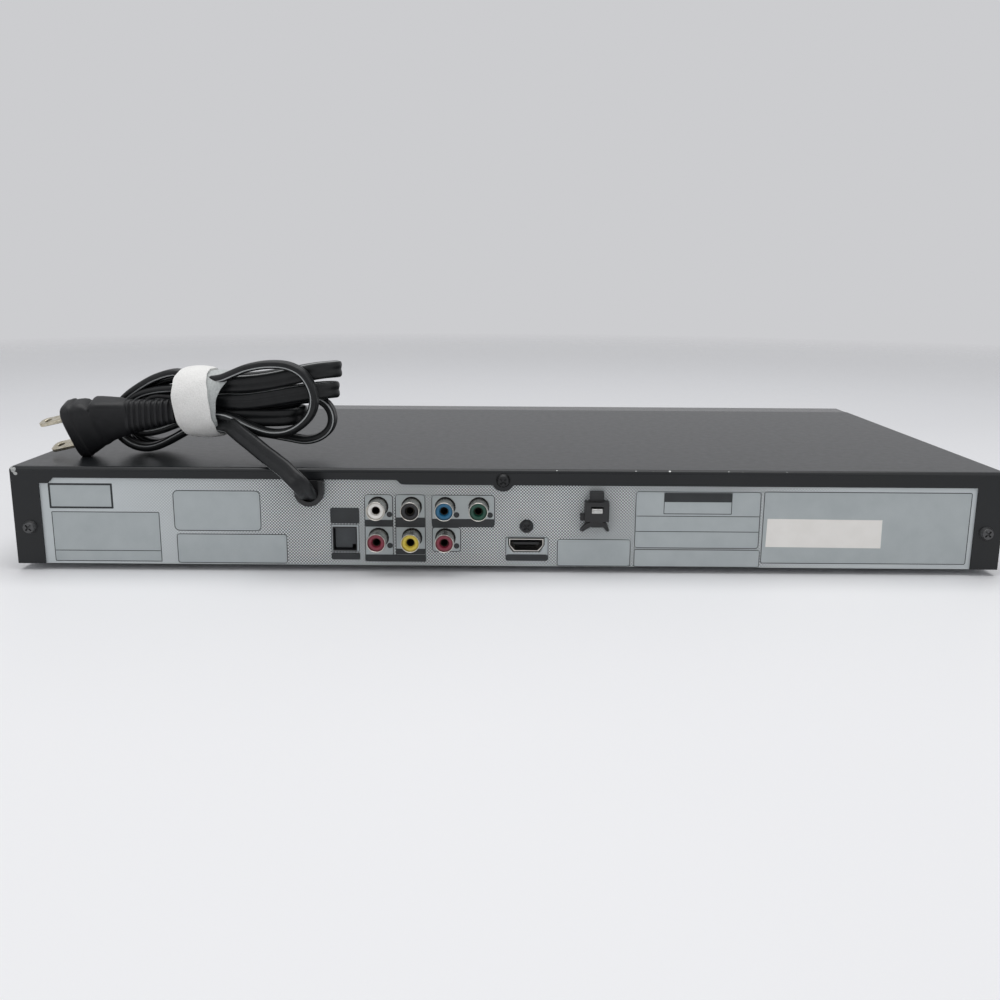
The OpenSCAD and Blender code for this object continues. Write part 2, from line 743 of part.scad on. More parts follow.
// Moulded two-blade plug: flared flange, tapering grip and a ribbed, bent sleeve
module plug_body() color("black") {
    plug_frame() {
        hull() {
            along_x(21.5, 2.7) round_rect(15, 26, 6);
            along_x(19.5, 1) round_rect(12, 22, 5);
        }
        hull() {
            along_x(0, 1) round_rect(10.5, 15, 4);
            along_x(19, 1) round_rect(12.5, 21, 5);
        }
    }
    route_tube(sleeve_pts, 9.4, 6, [0, 0, 1], [0, 0, 1], 12);
    for (i = [1:5]) {
        d = route_dir(sleeve_pts, i);
        translate(sleeve_pts[i]) rotate([0, -asin(d[2]), atan2(d[1], d[0])]) {
            along_x(-1.4, 2.8) round_rect(6.4 + i * 0.7, 9 + i * 1.1, 2.6);
        }
    }
}

// Two flat blades, one wider, each with its hole
module plug_blades() color("tan") {
    blade_t = 1.5;
    for (s = [-1, 1]) {
        plug_frame() difference() {
            half = s > 0 ? 3.2 : 4;
            along_z(s * 6.35 - blade_t / 2, blade_t) polygon([[24.2, -half], [39, -half], [41.2, 1.6 - half],
                [41.2, half - 1.6], [39, half], [24.2, half]]);
            post(37.2, 0, s * 6.35 - blade_t, s * 6.35 + blade_t, 1.6);
        }
    }
}

// ---------------------------------------------------------------- boards

// Main board under the sockets
module main_board() color("darkgreen") {
    difference() {
        block(-19, 96, 20, panel_in_y - 1, board_z, board_top);
        for (p = main_screws) {
            post(p[0], p[1], board_z - 1, board_top + 1, 1.6);
        }
    }
}

// Chips of the main board with their rows of leads
module flat_chip(x, y, w, d, leads) {
    block(x - w / 2, x + w / 2, y - d / 2, y + d / 2, board_top + 0.3, board_top + 1.7);
    for (i = [0:leads - 1], s = [-1, 1]) {
        px = x - w / 2 + w * (i + 0.5) / leads;
        py = y + s * (d / 2 + 0.4);
        block(px - 0.25, px + 0.25, py - 0.5, py + 0.5, board_top, board_top + 0.8);
    }
}
module board_chips() color("black") {
    flat_chip(30, 52, 24, 24, 12);
    flat_chip(62, 40, 18, 10, 9);
    flat_chip(2, 50, 12, 14, 7);
    flat_chip(80, 74, 10, 8, 5);
}

// Can capacitors standing on the two boards
module can(x, y, r, h) {
    translate([x, y, board_top]) rotate_extrude() {
        polygon([[0, 0], [r, 0], [r, h * 0.1], [r - 0.4, h * 0.14], [r, h * 0.18], [r, h - 0.6], [r - 0.8, h],
                 [r - 1.4, h - 0.4], [0, h - 0.4]]);
    }
}
module capacitors() color("navy") {
    can(128, -38, 11, 26);
    for (c = [[172, 62, 5, 16], [186, 62, 5, 16], [172, 76, 4, 12], [186, 76, 4, 12], [50, 70, 4, 11],
              [72, 62, 3.1, 8], [14, 72, 3.1, 8], [60, 76, 2.5, 7]]) {
        can(c[0], c[1], c[2], c[3]);
    }
}

// Single-sided board of the switching supply
module supply_board() color("peru") {
    difference() {
        block(100, 206, -58, 88, board_z, board_top);
        for (p = supply_screws) {
            post(p[0], p[1], board_z - 1, board_top + 1, 1.6);
        }
        block(146, 149, -20, 40, board_z - 1, board_top + 1);
    }
}

// Switching transformer: split ferrite core round a flanged bobbin
module transformer() color("dimgray") {
    translate([152, 44, board_top]) {
        for (s = [-1, 1]) {
            translate([-13, s * 11 - 3, 3]) cube([26, 6, 20]);
        }
        translate([0, 0, 1]) cylinder(h = 2, r = 11);
        translate([0, 0, 3]) cylinder(h = 18, r = 7.9);
        translate([0, 0, 21]) cylinder(h = 2, r = 7.9);
        for (i = [0:4], s = [-1, 1]) {
            translate([s * 8.5 - 0.4, -6.4 + i * 3.2 - 0.4, 0]) cube([0.8, 0.8, 1.5]);
        }
    }
}

// Finned aluminium sink with the switching transistor on its face
module heatsink() color("silver") {
    translate([176, -34, board_top]) {
        cube([2.5, 46, 28]);
        for (i = [0:7]) {
            translate([2.4, 1 + i * 6, 2]) cube([9, 1.6, 26]);
        }
    }
}

// Board behind the bezel, carrying the switches and the display
module front_board() color("darkgreen") {
    difference() {
        block(-4, 208, front_board_y, front_board_y + front_board_t, base_z + 5, base_z + 39);
        for (x = [2, 96, 176, 204]) {
            pin_y(x, base_z + 9, front_board_y - 1, front_board_y + 4, 1.4);
        }
    }
}

// Small square switches with a round plunger, one behind each button
module tact_switches() color("black") {
    for (b = button_places) {
        block(b[0] - 3, b[0] + 3, front_board_y - 3.4, front_board_y, button_z - 3, button_z + 3);
        pin_y(b[0], button_z, front_board_y - 4.2, front_board_y - 3.3, 1.7);
    }
}

// Flat glass display tube with its pinch-off tip
module display_tube() color("darkslategray") {
    block(8, 88, front_y + 4.6, front_board_y - 0.5, base_z + 19, base_z + 35);
    for (i = [0:15]) {
        px = 14 + i * 4.6;
        block(px - 0.3, px + 0.3, front_board_y - 1.4, front_board_y, base_z + 17.4, base_z + 19.4);
    }
}

// Flat ribbon from the main board to the front, and the twisted supply leads
module inner_cables() color("ivory") {
    block(40, 64, front_board_y + front_board_t, front_board_y + 2.2, base_z + 12, base_z + 22);
    block(40, 64, front_board_y + front_board_t, 24, base_z + 12, base_z + 12.4);
    block(40, 64, 23.6, 24, board_top, base_z + 12.4);
    for (i = [0:3]) {
        pin_y(92.4, board_top + 6 + i * 2, 30, 70, 0.8);
    }
}

// ---------------------------------------------------------------- loader

// Moulded frame of the loader: walls with ledges for the tray, gear posts, bearing webs
module loader_frame() color("black") {
    x0 = disc_x - loader_half_w;
    x1 = disc_x + loader_half_w;
    web_x = deck_half_w + 4;
    low = loader_z0 - 1;
    difference() {
        union() {
            difference() {
                block(x0, x1, loader_y0, loader_y1, loader_z0, loader_floor_z);
                block(disc_x - web_x, disc_x + web_x, cam_plate_y - 1, hinge_y + 8, low, loader_floor_z + 1);
                block(disc_x - 54, disc_x + 46, cam_plate_y - 1, cam_plate_y + cam_plate_t + 1, low,
                      loader_floor_z + 1);
            }
            for (s = [-1, 1]) {
                wall = loader_wall / 2;
                wall_x = disc_x + s * (loader_half_w - wall);
                block(wall_x - wall, wall_x + wall, loader_y0, loader_y1, loader_z0, loader_top_z);
                ledge_x = disc_x + s * 69.6;
                block(ledge_x - 3.5, ledge_x + 3.5, loader_y0, loader_y1, tray_rail_z - 1.8,
                      tray_rail_z - 0.3);
                hook_x = disc_x + s * 71.6;
                for (y = [loader_y0 + 14, loader_y1 - 30]) {
                    block(hook_x - 2, hook_x + 2, y, y + 14, tray_rim_z + 0.6, tray_rim_z + 2.2);
                }
                lug_x = disc_x + s * 78.5;
                block(lug_x - 3.5, lug_x + 3.5, front_y + 20, front_y + 32, base_z + 4.6, base_z + 6.6);
                web = disc_x + s * (web_x + 1);
                block(web - 1, web + 1, cam_plate_y + 4, hinge_y + 8, loader_z0, base_z + 16);
            }
            block(x0, x1, loader_y0, loader_y0 + 2.5, loader_z0, base_z + 16);
            block(x0, x1, loader_y1 - 3, loader_y1, loader_z0, base_z + 20);
            post(drive_x, gear_y, loader_floor_z - eps, base_z + 11.8, 3.2);
            post(drive_x, gear_y, loader_floor_z - eps, base_z + 22, axle_r);
            post(idler_x, gear_y, loader_floor_z - eps, base_z + 11.3, 3.2);
            post(idler_x, gear_y, loader_floor_z - eps, base_z + 21.4, axle_r);
            for (x = [disc_x - 34, disc_x + 2]) {
                post(x, cam_plate_y - 5.5, loader_floor_z - eps, loader_floor_z + 2.2, 1.5);
            }
            for (p = damper_places) {
                post(p[0], p[1], base_z + 4.6, base_z + 6.6, 6);
            }
        }
        for (s = [-1, 1]) {
            translate([disc_x + s * (web_x + 1) - 3, hinge_y, hinge_z]) rotate([0, 90, 0]) {
                cylinder(h = 6, r = hinge_r + 0.06);
            }
        }
        for (p = damper_places) {
            post(p[0], p[1], base_z + 4, base_z + 7, 3.1);
            post(p[0], p[1], floor_z, base_z + 4.6, 5.7);
            post(p[0], p[1], base_z + 6.6, base_z + 40, 5.7);
        }
        post(motor_x, motor_y, low, loader_floor_z + 1, 3.5);
        for (s = [-1, 1], i = [0:4]) {
            y = cam_plate_y + 8 + i * 26;
            block(disc_x + s * 59.5 - 7, disc_x + s * 59.5 + 7, y, y + 18, low, loader_floor_z + 1);
        }
    }
}

// Rubber dampers with a screw-down collar, between the pan and the frame's lugs
module dampers() color("darkslategray") {
    for (p = damper_places) {
        translate([p[0], p[1], 0]) rotate_extrude() {
            polygon([[1.6, floor_z], [5, floor_z], [5.4, base_z + 2], [5, base_z + 4.5], [3, base_z + 4.5],
                     [3, base_z + 6.7], [4.6, base_z + 6.7], [4.2, base_z + 8.6], [1.6, base_z + 8.6]]);
        }
    }
}

// Steel bridge over the disc that holds the clamper in its hole
module clamp_bridge() color("silver") {
    z0 = loader_top_z;
    difference() {
        union() {
            block(disc_x - loader_half_w, disc_x + loader_half_w, disc_y - 16, disc_y + 16, z0, z0 + 1.2);
            for (s = [-1, 1]) {
                block(disc_x - 66, disc_x + 66, disc_y + s * 15.5 - 0.5, disc_y + s * 15.5 + 0.5, z0, z0 + 4);
            }
            post(disc_x, disc_y, z0 + 1, z0 + 1.8, 13);
        }
        post(disc_x, disc_y, z0 - 1, z0 + 3, 9.4);
        for (s = [-1, 1]) {
            post(disc_x + s * 45, disc_y, z0 - 1, z0 + 3, 9);
            post(disc_x + s * (loader_half_w - 1.6), disc_y, z0 - 1, z0 + 3, 1);
        }
    }
}

// Clamper: a flanged puck that hangs in the bridge and turns with the disc
module clamper() color("black") {
    z0 = tray_rim_z + 0.8;
    translate([disc_x, disc_y, z0]) rotate_extrude() {
        polygon([[0, 1.6], [8, 1.6], [8, 0], [12.5, 0], [13, 0.5], [13, 2], [8.7, 2], [8.7, 5.8], [11.4, 5.8],
                 [11.4, 6.9], [7, 7.3], [6.6, 6.4], [0, 6.4]]);
    }
}

// Plan of the tray, with the slot that the turntable and the pickup stand in
module tray_outline() {
    difference() {
        translate([disc_x - tray_half_w, tray_y0]) square([2 * tray_half_w, tray_y1 - tray_y0]);
        translate([disc_x, disc_y]) circle(slot_half_w);
        translate([disc_x - slot_half_w, disc_y]) square([2 * slot_half_w, 200]);
    }
}

// Disc tray: recesses for both disc sizes, open slot to the rear, and the rack below
module tray() color("dimgray") {
    difference() {
        union() {
            along_z(tray_low_z, tray_rim_z - tray_low_z) tray_outline();
            for (x = [disc_x - 69.7, disc_x + 69.7]) {
                block(x - 1.8, x + 1.8, tray_y0, tray_y1, tray_rail_z, tray_low_z + eps);
            }
            block(rack_line_x + 1.2, rack_line_x + 6, gear_y - 9, gear_y + tray_travel + 9, base_z + 18.9,
                  tray_low_z + eps);
            block(disc_x - 60, disc_x + 60, front_y + 3.5, tray_y0 + eps, base_z + 21.5, base_z + 29);
        }
        post(disc_x, disc_y, tray_floor_z, tray_rim_z + 1, disc_r);
        post(disc_x, disc_y, tray_floor_z - 1.2, tray_rim_z + 1, 40.8);
        for (s = [-1, 1]) {
            post(disc_x + s * 56, disc_y - 40, tray_floor_z, tray_rim_z + 1, 11);
        }
        for (s = [-1, 1], y = [tray_y0 + 8, tray_y1 - 20]) {
            block(disc_x + s * 58 - 6, disc_x + s * 58 + 6, y, y + 8, tray_floor_z - 0.5, tray_rim_z + 1);
        }
    }
    tray_rack();
}

// Rack teeth, with a gap opposite the pinion's own tooth
module tray_rack() {
    pitch = PI * rack_m;
    count = floor((tray_travel + 12) / pitch);
    thin = 0.12;
    tip = pitch / 4 - tan(pressure) * rack_m - thin;
    root = pitch / 4 + tan(pressure) * 1.25 * rack_m - thin;
    along_z(base_z + 18.9, 3.9) {
        for (i = [-2:count - 1]) {
            translate([rack_line_x, gear_y + (i + 0.5) * pitch]) {
                polygon([[-rack_m, -tip], [-rack_m, tip], [1.25 * rack_m, root], [1.25 * rack_m, -root]]);
            }
        }
    }
}

// Front door of the tray, with its lower edge raked back
module tray_door() color("gray") {
    along_x(disc_x - door_half_w, 2 * door_half_w) {
        polygon([[front_y + 1.2, door_low_z], [front_y + 3.5, door_low_z], [front_y + 3.5, door_top_z],
                 [front_y + 0.5, door_top_z], [front_y, door_top_z - 0.6], [front_y, door_low_z + 2.4]]);
    }
}

// Flat round motor of the loading drive, shaft up
module loading_motor() color("silver") {
    translate([motor_x, motor_y, loader_floor_z]) {
        cylinder(h = 12.2, r = 12);
        cylinder(h = 12.9, r = 3);
        cylinder(h = pulley_z + pulley_h + 0.6 - loader_floor_z, r = 1);
        translate([-2.5, -14, 1]) cube([5, 3, 6]);
    }
}

// Grooved pulley: radius at the groove's floor, with flanges either side
module grooved_pulley(r) {
    rotate_extrude() {
        polygon([[0, 0], [r + 0.9, 0], [r + 0.9, 0.7], [r, 1.0], [r, 2.4], [r + 0.9, 2.7],
                 [r + 0.9, pulley_h], [0, pulley_h]]);
    }
}
module motor_pulley() color("ivory") {
    translate([motor_x, motor_y, pulley_z]) difference() {
        grooved_pulley(small_pulley_r);
        translate([0, 0, -1]) cylinder(h = 9, r = 1.05);
    }
}

// Rubber belt between the motor's pulley and the large one
module drive_belt() color("black") {
    a = [motor_x, motor_y];
    b = [idler_x, gear_y];
    along_z(pulley_z + 1.25, 0.9) {
        difference() {
            belt_2d(a, small_pulley_r + belt_gap + belt_t, b, big_pulley_r + belt_gap + belt_t);
            belt_2d(a, small_pulley_r + belt_gap, b, big_pulley_r + belt_gap);
        }
    }
}

// Large pulley moulded with the small gear under it
module pulley_gear() color("ivory") {
    translate([idler_x, gear_y, 0]) difference() {
        union() {
            translate([0, 0, pulley_z]) grooved_pulley(big_pulley_r);
            translate([0, 0, base_z + 11.5]) linear_extrude(pulley_z - base_z - 11.4) {
                gear_2d(small_teeth, train_m, 0.08);
            }
        }
        translate([0, 0, base_z]) cylinder(h = 40, r = bore_r);
        for (i = [0:4]) {
            rotate(72 * i) translate([6.6, 0, pulley_z - 1]) cylinder(h = 9, r = 1.6);
        }
    }
}

// Large wheel moulded with the pinion that drives the tray's rack
module drive_gear() color("ivory") {
    translate([drive_x, gear_y, 0]) difference() {
        union() {
            translate([0, 0, base_z + 12]) linear_extrude(3.5) {
                rotate(180 + 180 / wheel_teeth) gear_2d(wheel_teeth, train_m, 0.08);
            }
            translate([0, 0, base_z + 15.4]) cylinder(h = 3.7, r = 5);
            translate([0, 0, base_z + 19]) linear_extrude(3.6) gear_2d(pinion_teeth, rack_m, 0.08);
        }
        translate([0, 0, base_z]) cylinder(h = 40, r = bore_r);
        for (i = [0:5]) {
            rotate(60 * i + 30) translate([10, 0, base_z + 11]) cylinder(h = 6, r = 2.6);
        }
    }
}

// Slot with one bend: round at both ends, mitred at the knee
module cam_slot(low, knee, high, r) {
    rise = unit(knee - low);
    n1 = [-rise[1], rise[0]];
    n2 = [0, 1];
    mitre = (n1 + n2) / (1 + n1 * n2);
    translate(low) circle(r);
    translate(high) circle(r);
    polygon([low + r * n1, knee + r * mitre, high + r * n2, high - r * n2, knee - r * mitre, low - r * n1]);
}

// Sliding cam with two slanted slots that raise and lower the traverse
module cam_slide() color("whitesmoke") {
    x0 = disc_x - 52;
    x1 = disc_x + 20;
    pin_z = deck_z + deck_t / 2;
    along_y(cam_plate_y, cam_plate_t) {
        difference() {
            translate([x0, floor_z + 0.8]) square([x1 - x0, base_z + 15 - floor_z - 0.8]);
            for (x = cam_pin_xs) {
                cam_slot([x - cam_travel, pin_z - cam_drop], [x, pin_z], [x + 3, pin_z], cam_slot_r);
            }
        }
    }
    along_z(loader_floor_z + 0.3, 1.5) {
        difference() {
            translate([x0, cam_plate_y - 8.5]) square([x1 - x0, 8.6]);
            for (x = [disc_x - 34, disc_x + 2]) {
                slot_2d([x + 1, cam_plate_y - 5.5], [x - cam_travel - 1, cam_plate_y - 5.5], 1.75);
            }
        }
    }
}

// Steel traverse: pivots at its rear, and its front pins run in the cam
module traverse() color("silver") {
    hinge_x = deck_half_w + 5.8;
    difference() {
        union() {
            block(disc_x - deck_half_w, disc_x + deck_half_w, deck_y0, hinge_y + 3, deck_z, deck_z + deck_t);
            for (x = [disc_x - deck_half_w, disc_x + deck_half_w - 1.2]) {
                block(x, x + 1.2, deck_y0, hinge_y + 3, deck_z, deck_z + 4);
            }
            translate([disc_x - hinge_x, hinge_y, hinge_z]) rotate([0, 90, 0]) {
                cylinder(h = 2 * hinge_x, r = hinge_r);
            }
            for (x = cam_pin_xs) {
                pin_y(x, deck_z + deck_t / 2, cam_plate_y + 0.3, deck_y0 + 2, cam_pin_r);
            }
            for (s = [-1, 1], y = [lens_y - 18, lens_y + pickup_travel + 20]) {
                block(disc_x + s * rod_x - 2.6, disc_x + s * rod_x + 2.6, y, y + 4, deck_z, rod_z + 2.6);
            }
        }
        block(disc_x - 17.5, disc_x + 17.5, lens_y - 10, lens_y + pickup_travel + 15, deck_z - 1,
              deck_z + deck_t + 1);
        for (s = [-1, 1]) {
            pin_y(disc_x + s * rod_x, rod_z, lens_y - 20, lens_y + pickup_travel + 26, rod_r);
            post(disc_x + s * 30, disc_y - 20, deck_z - 1, deck_z + 3, 4);
        }
    }
}

// Two ground rods that the pickup runs on
module guide_rods() color("silver") {
    for (s = [-1, 1]) {
        pin_y(disc_x + s * rod_x, rod_z, lens_y - 19, lens_y + pickup_travel + 25, rod_r - 0.01);
    }
}

// Flat spindle motor under the turntable
module spindle_motor() color("dimgray") {
    translate([disc_x, disc_y, deck_z + deck_t]) {
        cylinder(h = 9.6, r = 12);
        cylinder(h = 10.2, r = 4);
        cylinder(h = seat_z - deck_z - deck_t - 2.6, r = 1);
    }
}

// Turntable: rubber-faced flange with the cone that centres the disc
module turntable() color("black") {
    translate([disc_x, disc_y, 0]) rotate_extrude() {
        polygon([[1.05, seat_z - 3.6], [5, seat_z - 3.6], [5, seat_z - 2.2], [14.5, seat_z - 2.2],
                 [14.5, seat_z - 0.4], [14, seat_z], [8, seat_z], [7.45, seat_z - 0.4],
                 [7.45, seat_z + 0.9], [6.2, seat_z + 1.7], [1.05, seat_z + 1.7]]);
    }
}

// Pickup sled: a cast body on two bearings, with the arm that follows the leadscrew
module pickup() color("darkgray") {
    difference() {
        union() {
            block(disc_x - 17, disc_x + 17, lens_y - 9, lens_y + 14, deck_z - 2, rod_z + 5);
            block(disc_x - 19, disc_x + 19, lens_y - 6, lens_y + 12, rod_z - 2.4, rod_z + 3);
            block(disc_x + rod_x - 4, disc_x + rod_x + 3, lens_y - 8, lens_y + 13, rod_z - 2.8, rod_z + 2.8);
            block(disc_x - rod_x - 3, disc_x - rod_x + 4, lens_y - 3, lens_y + 3, rod_z - 2.4, rod_z + 2.4);
            post(disc_x, lens_y, rod_z + 4, rod_z + 8, 7.5);
            block(disc_x + rod_x + 2, screw_x - 1.75, lens_y + 2, lens_y + 8, rod_z - 1.5, rod_z + 1.5);
        }
        for (s = [-1, 1]) {
            pin_y(disc_x + s * rod_x, rod_z, lens_y - 12, lens_y + 20, rod_r + 0.05);
        }
        post(disc_x, lens_y, rod_z + 6.2, rod_z + 9, 5.4);
    }
}

// Objective lens in its moving holder
module lens() color("lightblue") {
    translate([disc_x, lens_y, rod_z + 6.2]) rotate_extrude() {
        polygon([[0, 0], [4.6, 0], [4.6, 2], [2.6, 2], [2.3, 2.4], [0, 2.9]]);
    }
}

// Small sled motor behind the leadscrew
module sled_motor() color("silver") {
    y0 = lens_y + pickup_travel + 18;
    pin_y(screw_x, rod_z, y0, y0 + 14, 3.9);
    block(screw_x - 3.6, screw_x + 3.6, y0, y0 + 13, deck_z + deck_t, rod_z);
    pin_y(screw_x, rod_z, y0 - 1, y0, 2);
}

// Leadscrew with a rolled collar at each end
module leadscrew() color("silver") {
    y0 = lens_y - 14;
    y1 = lens_y + pickup_travel + 16.8;
    pin_y(screw_x, rod_z, y0, y1, 1.5);
    pin_y(screw_x, rod_z, y0 + 1, y0 + 2, 2.2);
    pin_y(screw_x, rod_z, y1 - 2, y1, 2.2);
}

// ---------------------------------------------------------------- buttons

// Button cap with the collar that keeps it in and the stem that meets its switch
module push_button(b) {
    along_y(front_y - button_proud, bezel_wall + button_proud + 0.6) {
        translate([b[0], button_z]) round_rect(b[1], b[2], b[3]);
    }
    along_y(bezel_in_y + 0.3, 1) translate([b[0], button_z]) round_rect(b[1] + 2.4, b[2] + 2.4, b[3]);
    stem_end = front_board_y - 4.2 - button_travel - 0.1;
    pin_y(b[0], button_z, bezel_in_y + 1, stem_end, 1.5);
}
module eject_button() color("silver") push_button(button_places[0]);
module play_button() color("silver") push_button(button_places[1]);
module stop_button() color("silver") push_button(button_places[2]);
module power_button() color("silver") push_button(button_places[3]);

chassis_pan();
rear_panel();
top_cover();
front_bezel();
display_window();
feet();
case_screws();
jack_blocks();
jack_shells();
insert_white();
insert_black();
insert_red();
insert_yellow();
insert_blue();
insert_green();
video_socket_shell();
video_socket_tongue();
optical_socket();
optical_shutter();
panel_clip();
cord_bushing();
cord_lead();
cord_hank();
cord_tie();
plug_body();
plug_blades();
main_board();
board_chips();
capacitors();
supply_board();
transformer();
heatsink();
front_board();
tact_switches();
display_tube();
inner_cables();
loader_frame();
clamp_bridge();
clamper();
tray();
tray_door();
loading_motor();
motor_pulley();
drive_belt();
pulley_gear();
drive_gear();
cam_slide();
traverse();
dampers();
spindle_motor();
turntable();
pickup();
lens();
guide_rods();
sled_motor();
leadscrew();
power_button();
eject_button();
play_button();
stop_button();
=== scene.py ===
import math

import bmesh
import bpy
from mathutils import Matrix, Vector


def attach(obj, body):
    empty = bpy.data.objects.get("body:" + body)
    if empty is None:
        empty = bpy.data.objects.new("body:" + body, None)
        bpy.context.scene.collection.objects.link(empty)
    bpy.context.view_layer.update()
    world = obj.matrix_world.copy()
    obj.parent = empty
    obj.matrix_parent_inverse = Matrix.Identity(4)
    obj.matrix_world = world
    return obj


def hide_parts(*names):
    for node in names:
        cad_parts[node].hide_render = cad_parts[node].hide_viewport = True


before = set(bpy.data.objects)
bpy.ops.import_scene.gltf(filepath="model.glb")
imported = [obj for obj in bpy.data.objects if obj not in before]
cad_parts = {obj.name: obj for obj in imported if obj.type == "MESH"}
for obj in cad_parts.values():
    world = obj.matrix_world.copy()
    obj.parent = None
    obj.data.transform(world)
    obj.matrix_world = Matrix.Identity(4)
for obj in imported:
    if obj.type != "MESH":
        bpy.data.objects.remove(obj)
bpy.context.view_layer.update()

# ---------------------------------------------------------------- viewpoint
# The camera stands half a metre behind the player's middle, a little above its lid, and looks down
# at the sockets through a moderate lens.

MM = 0.001


def at_mm(x, y, z):
    """A point given in millimetres."""
    return Vector((x, y, z)) * MM


yaw, pitch, roll = (math.radians(a) for a in (0.127, 11.70, 0.357))
gaze = Vector((math.sin(yaw) * math.cos(pitch), -math.cos(yaw) * math.cos(pitch), -math.sin(pitch)))
side = gaze.cross(Vector((0, 0, 1))).normalized()
rise = side.cross(gaze)
side, rise = side * math.cos(roll) + rise * math.sin(roll), rise * math.cos(roll) - side * math.sin(roll)
lens = bpy.data.cameras.new("viewpoint")
lens.sensor_width = 36
lens.lens = 33.66
lens.shift_y = -0.025
lens.clip_start = 0.01
viewpoint = bpy.data.objects.new("viewpoint", lens)
bpy.context.scene.collection.objects.link(viewpoint)
facing = Matrix((side, rise, -gaze)).transposed().to_4x4()
viewpoint.matrix_world = Matrix.Translation(at_mm(2.61, 493.75, 125.65)) @ facing
bpy.context.scene.camera = viewpoint
bpy.context.scene.view_settings.view_transform = "Standard"

# ---------------------------------------------------------------- mains cord
# Flat twin cord in black vinyl, extruded round two stranded conductors, with a pale line along one
# edge to tell the conductors apart. It leaves the bushing, is folded to and fro into a hank, and
# ends in the sleeve of the plug.

ALONG_Y, ALONG_Z = (0, 1, 0), (0, 0, 1)
TURNING, TURNED = (0, 0.85, 0.5), (0, 0.4, 0.9)


def new_material(name):
    """A material with its node tree, and its shader."""
    made = bpy.data.materials.new(name)
    made.use_nodes = True
    return made, made.node_tree, made.node_tree.nodes["Principled BSDF"]


def feed(tree, node, inputs):
    """Sets a node's inputs to values, or links them to other nodes' outputs."""
    for key, value in inputs.items():
        if isinstance(value, bpy.types.NodeSocket):
            tree.links.new(value, node.inputs[key])
        else:
            node.inputs[key].default_value = value


def add_node(tree, kind, inputs=None, **settings):
    """A node with its settings and its inputs."""
    made = tree.nodes.new(kind)
    for key, value in settings.items():
        setattr(made, key, value)
    feed(tree, made, inputs or {})
    return made


def own_place(tree):
    """Each point's place on the object, in metres."""
    return add_node(tree, "ShaderNodeTexCoord").outputs["Object"]


def grain(tree, scale, detail=4.0, rough=0.55):
    """Noise on the object's own coordinates; scale is in features to the metre."""
    return add_node(tree, "ShaderNodeTexNoise", {"Vector": own_place(tree), "Scale": scale,
                                                 "Detail": detail, "Roughness": rough}).outputs["Fac"]


def ramp(tree, source, dark, light, low=0.3, high=0.7):
    """Colours that run from dark to light as the source goes from low to high."""
    made = add_node(tree, "ShaderNodeValToRGB", {"Fac": source})
    made.color_ramp.elements[0].position = low
    made.color_ramp.elements[1].position = high
    made.color_ramp.elements[0].color = (*dark, 1)
    made.color_ramp.elements[1].color = (*light, 1)
    return made.outputs["Color"]


def between(tree, source, low, high, first=0.0, last=1.0):
    """A number that runs from first to last as the source goes from low to high."""
    return add_node(tree, "ShaderNodeMapRange", {"Value": source, "From Min": low, "From Max": high,
                                                 "To Min": first, "To Max": last}).outputs["Result"]


def mixed(tree, share, first, second):
    """The first colour where share is 0 and the second where it is 1."""
    return add_node(tree, "ShaderNodeMix", {"Factor": share, "A": first, "B": second},
                    data_type="RGBA").outputs["Result"]


def bump(tree, shader, height, depth, strength):
    """Small relief, depth in metres."""
    made = add_node(tree, "ShaderNodeBump", {"Height": height, "Distance": depth, "Strength": strength})
    tree.links.new(made.outputs["Normal"], shader.inputs["Normal"])


def finished(bm, name, body, material, smooth=True, angle=35):
    """A mesh object at the origin, with its faces outwards, that rides on a body."""
    bmesh.ops.recalc_face_normals(bm, faces=bm.faces)
    data = bpy.data.meshes.new(name)
    bm.to_mesh(data)
    bm.free()
    made = bpy.data.objects.new(name, data)
    bpy.context.scene.collection.objects.link(made)
    data.materials.append(material)
    if smooth:
        data.shade_smooth()
        data.set_sharp_from_angle(angle=math.radians(angle))
    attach(made, body)
    return made


def lead_station(x, y, z, share):
    """A point of the free lead, whose flat side turns towards the sockets' side as it rises."""
    turned_out = min(1, 2.4 * share)
    return (x, y, z), (1 - 0.52 * turned_out, 0.1 * turned_out, -0.87 * turned_out)


def laid(direction, *points):
    """Points of the cord whose width lies the same way."""
    return [(point, direction) for point in points]


lead_points = [(85.6, 103, 35.2), (85.6, 107, 37.2), (85.9, 110.5, 39.6), (86.8, 112, 41.6),
               (88.8, 111.5, 43.5), (91.7, 109, 45.5), (94.6, 106, 47.3), (98.1, 103, 48.9),
               (101.5, 100, 50.5), (105, 97, 52), (108.5, 94, 53.8), (112, 91, 55.6), (115.4, 88, 57.2),
               (118.8, 85, 58.9), (122, 82, 60.5), (125.2, 79, 62)]
route = laid((1, 0, 0), (85.6, 96, 35.2), (85.6, 99.5, 35.2))
route += [lead_station(*point, i / (len(lead_points) - 1)) for i, point in enumerate(lead_points)]
route += [((131, 76, 61.6), (0.3, 0.5, -0.8)), ((138.5, 71.5, 60.4), (0, 0.9, -0.4))]
route += laid(ALONG_Y, (146, 67.3, 58.2), (151, 66.5, 55.6), (157.9, 65.5, 51.9), (163.1, 64.8, 49.8),
              (168.3, 64.4, 49), (173.4, 64.3, 50.1), (177.8, 64.2, 52.8), (181.2, 64.1, 57),
              (182.3, 64, 61.8), (180.6, 64, 67), (175.8, 64.3, 72.4), (169.1, 64.8, 77.2),
              (160.3, 65.8, 81.8), (152, 66.3, 83.9), (147, 66.6, 82.8), (142.5, 67.8, 81.6),
              (137.5, 71, 81.3), (132, 74.8, 81.9), (127.3, 76.6, 82.8))
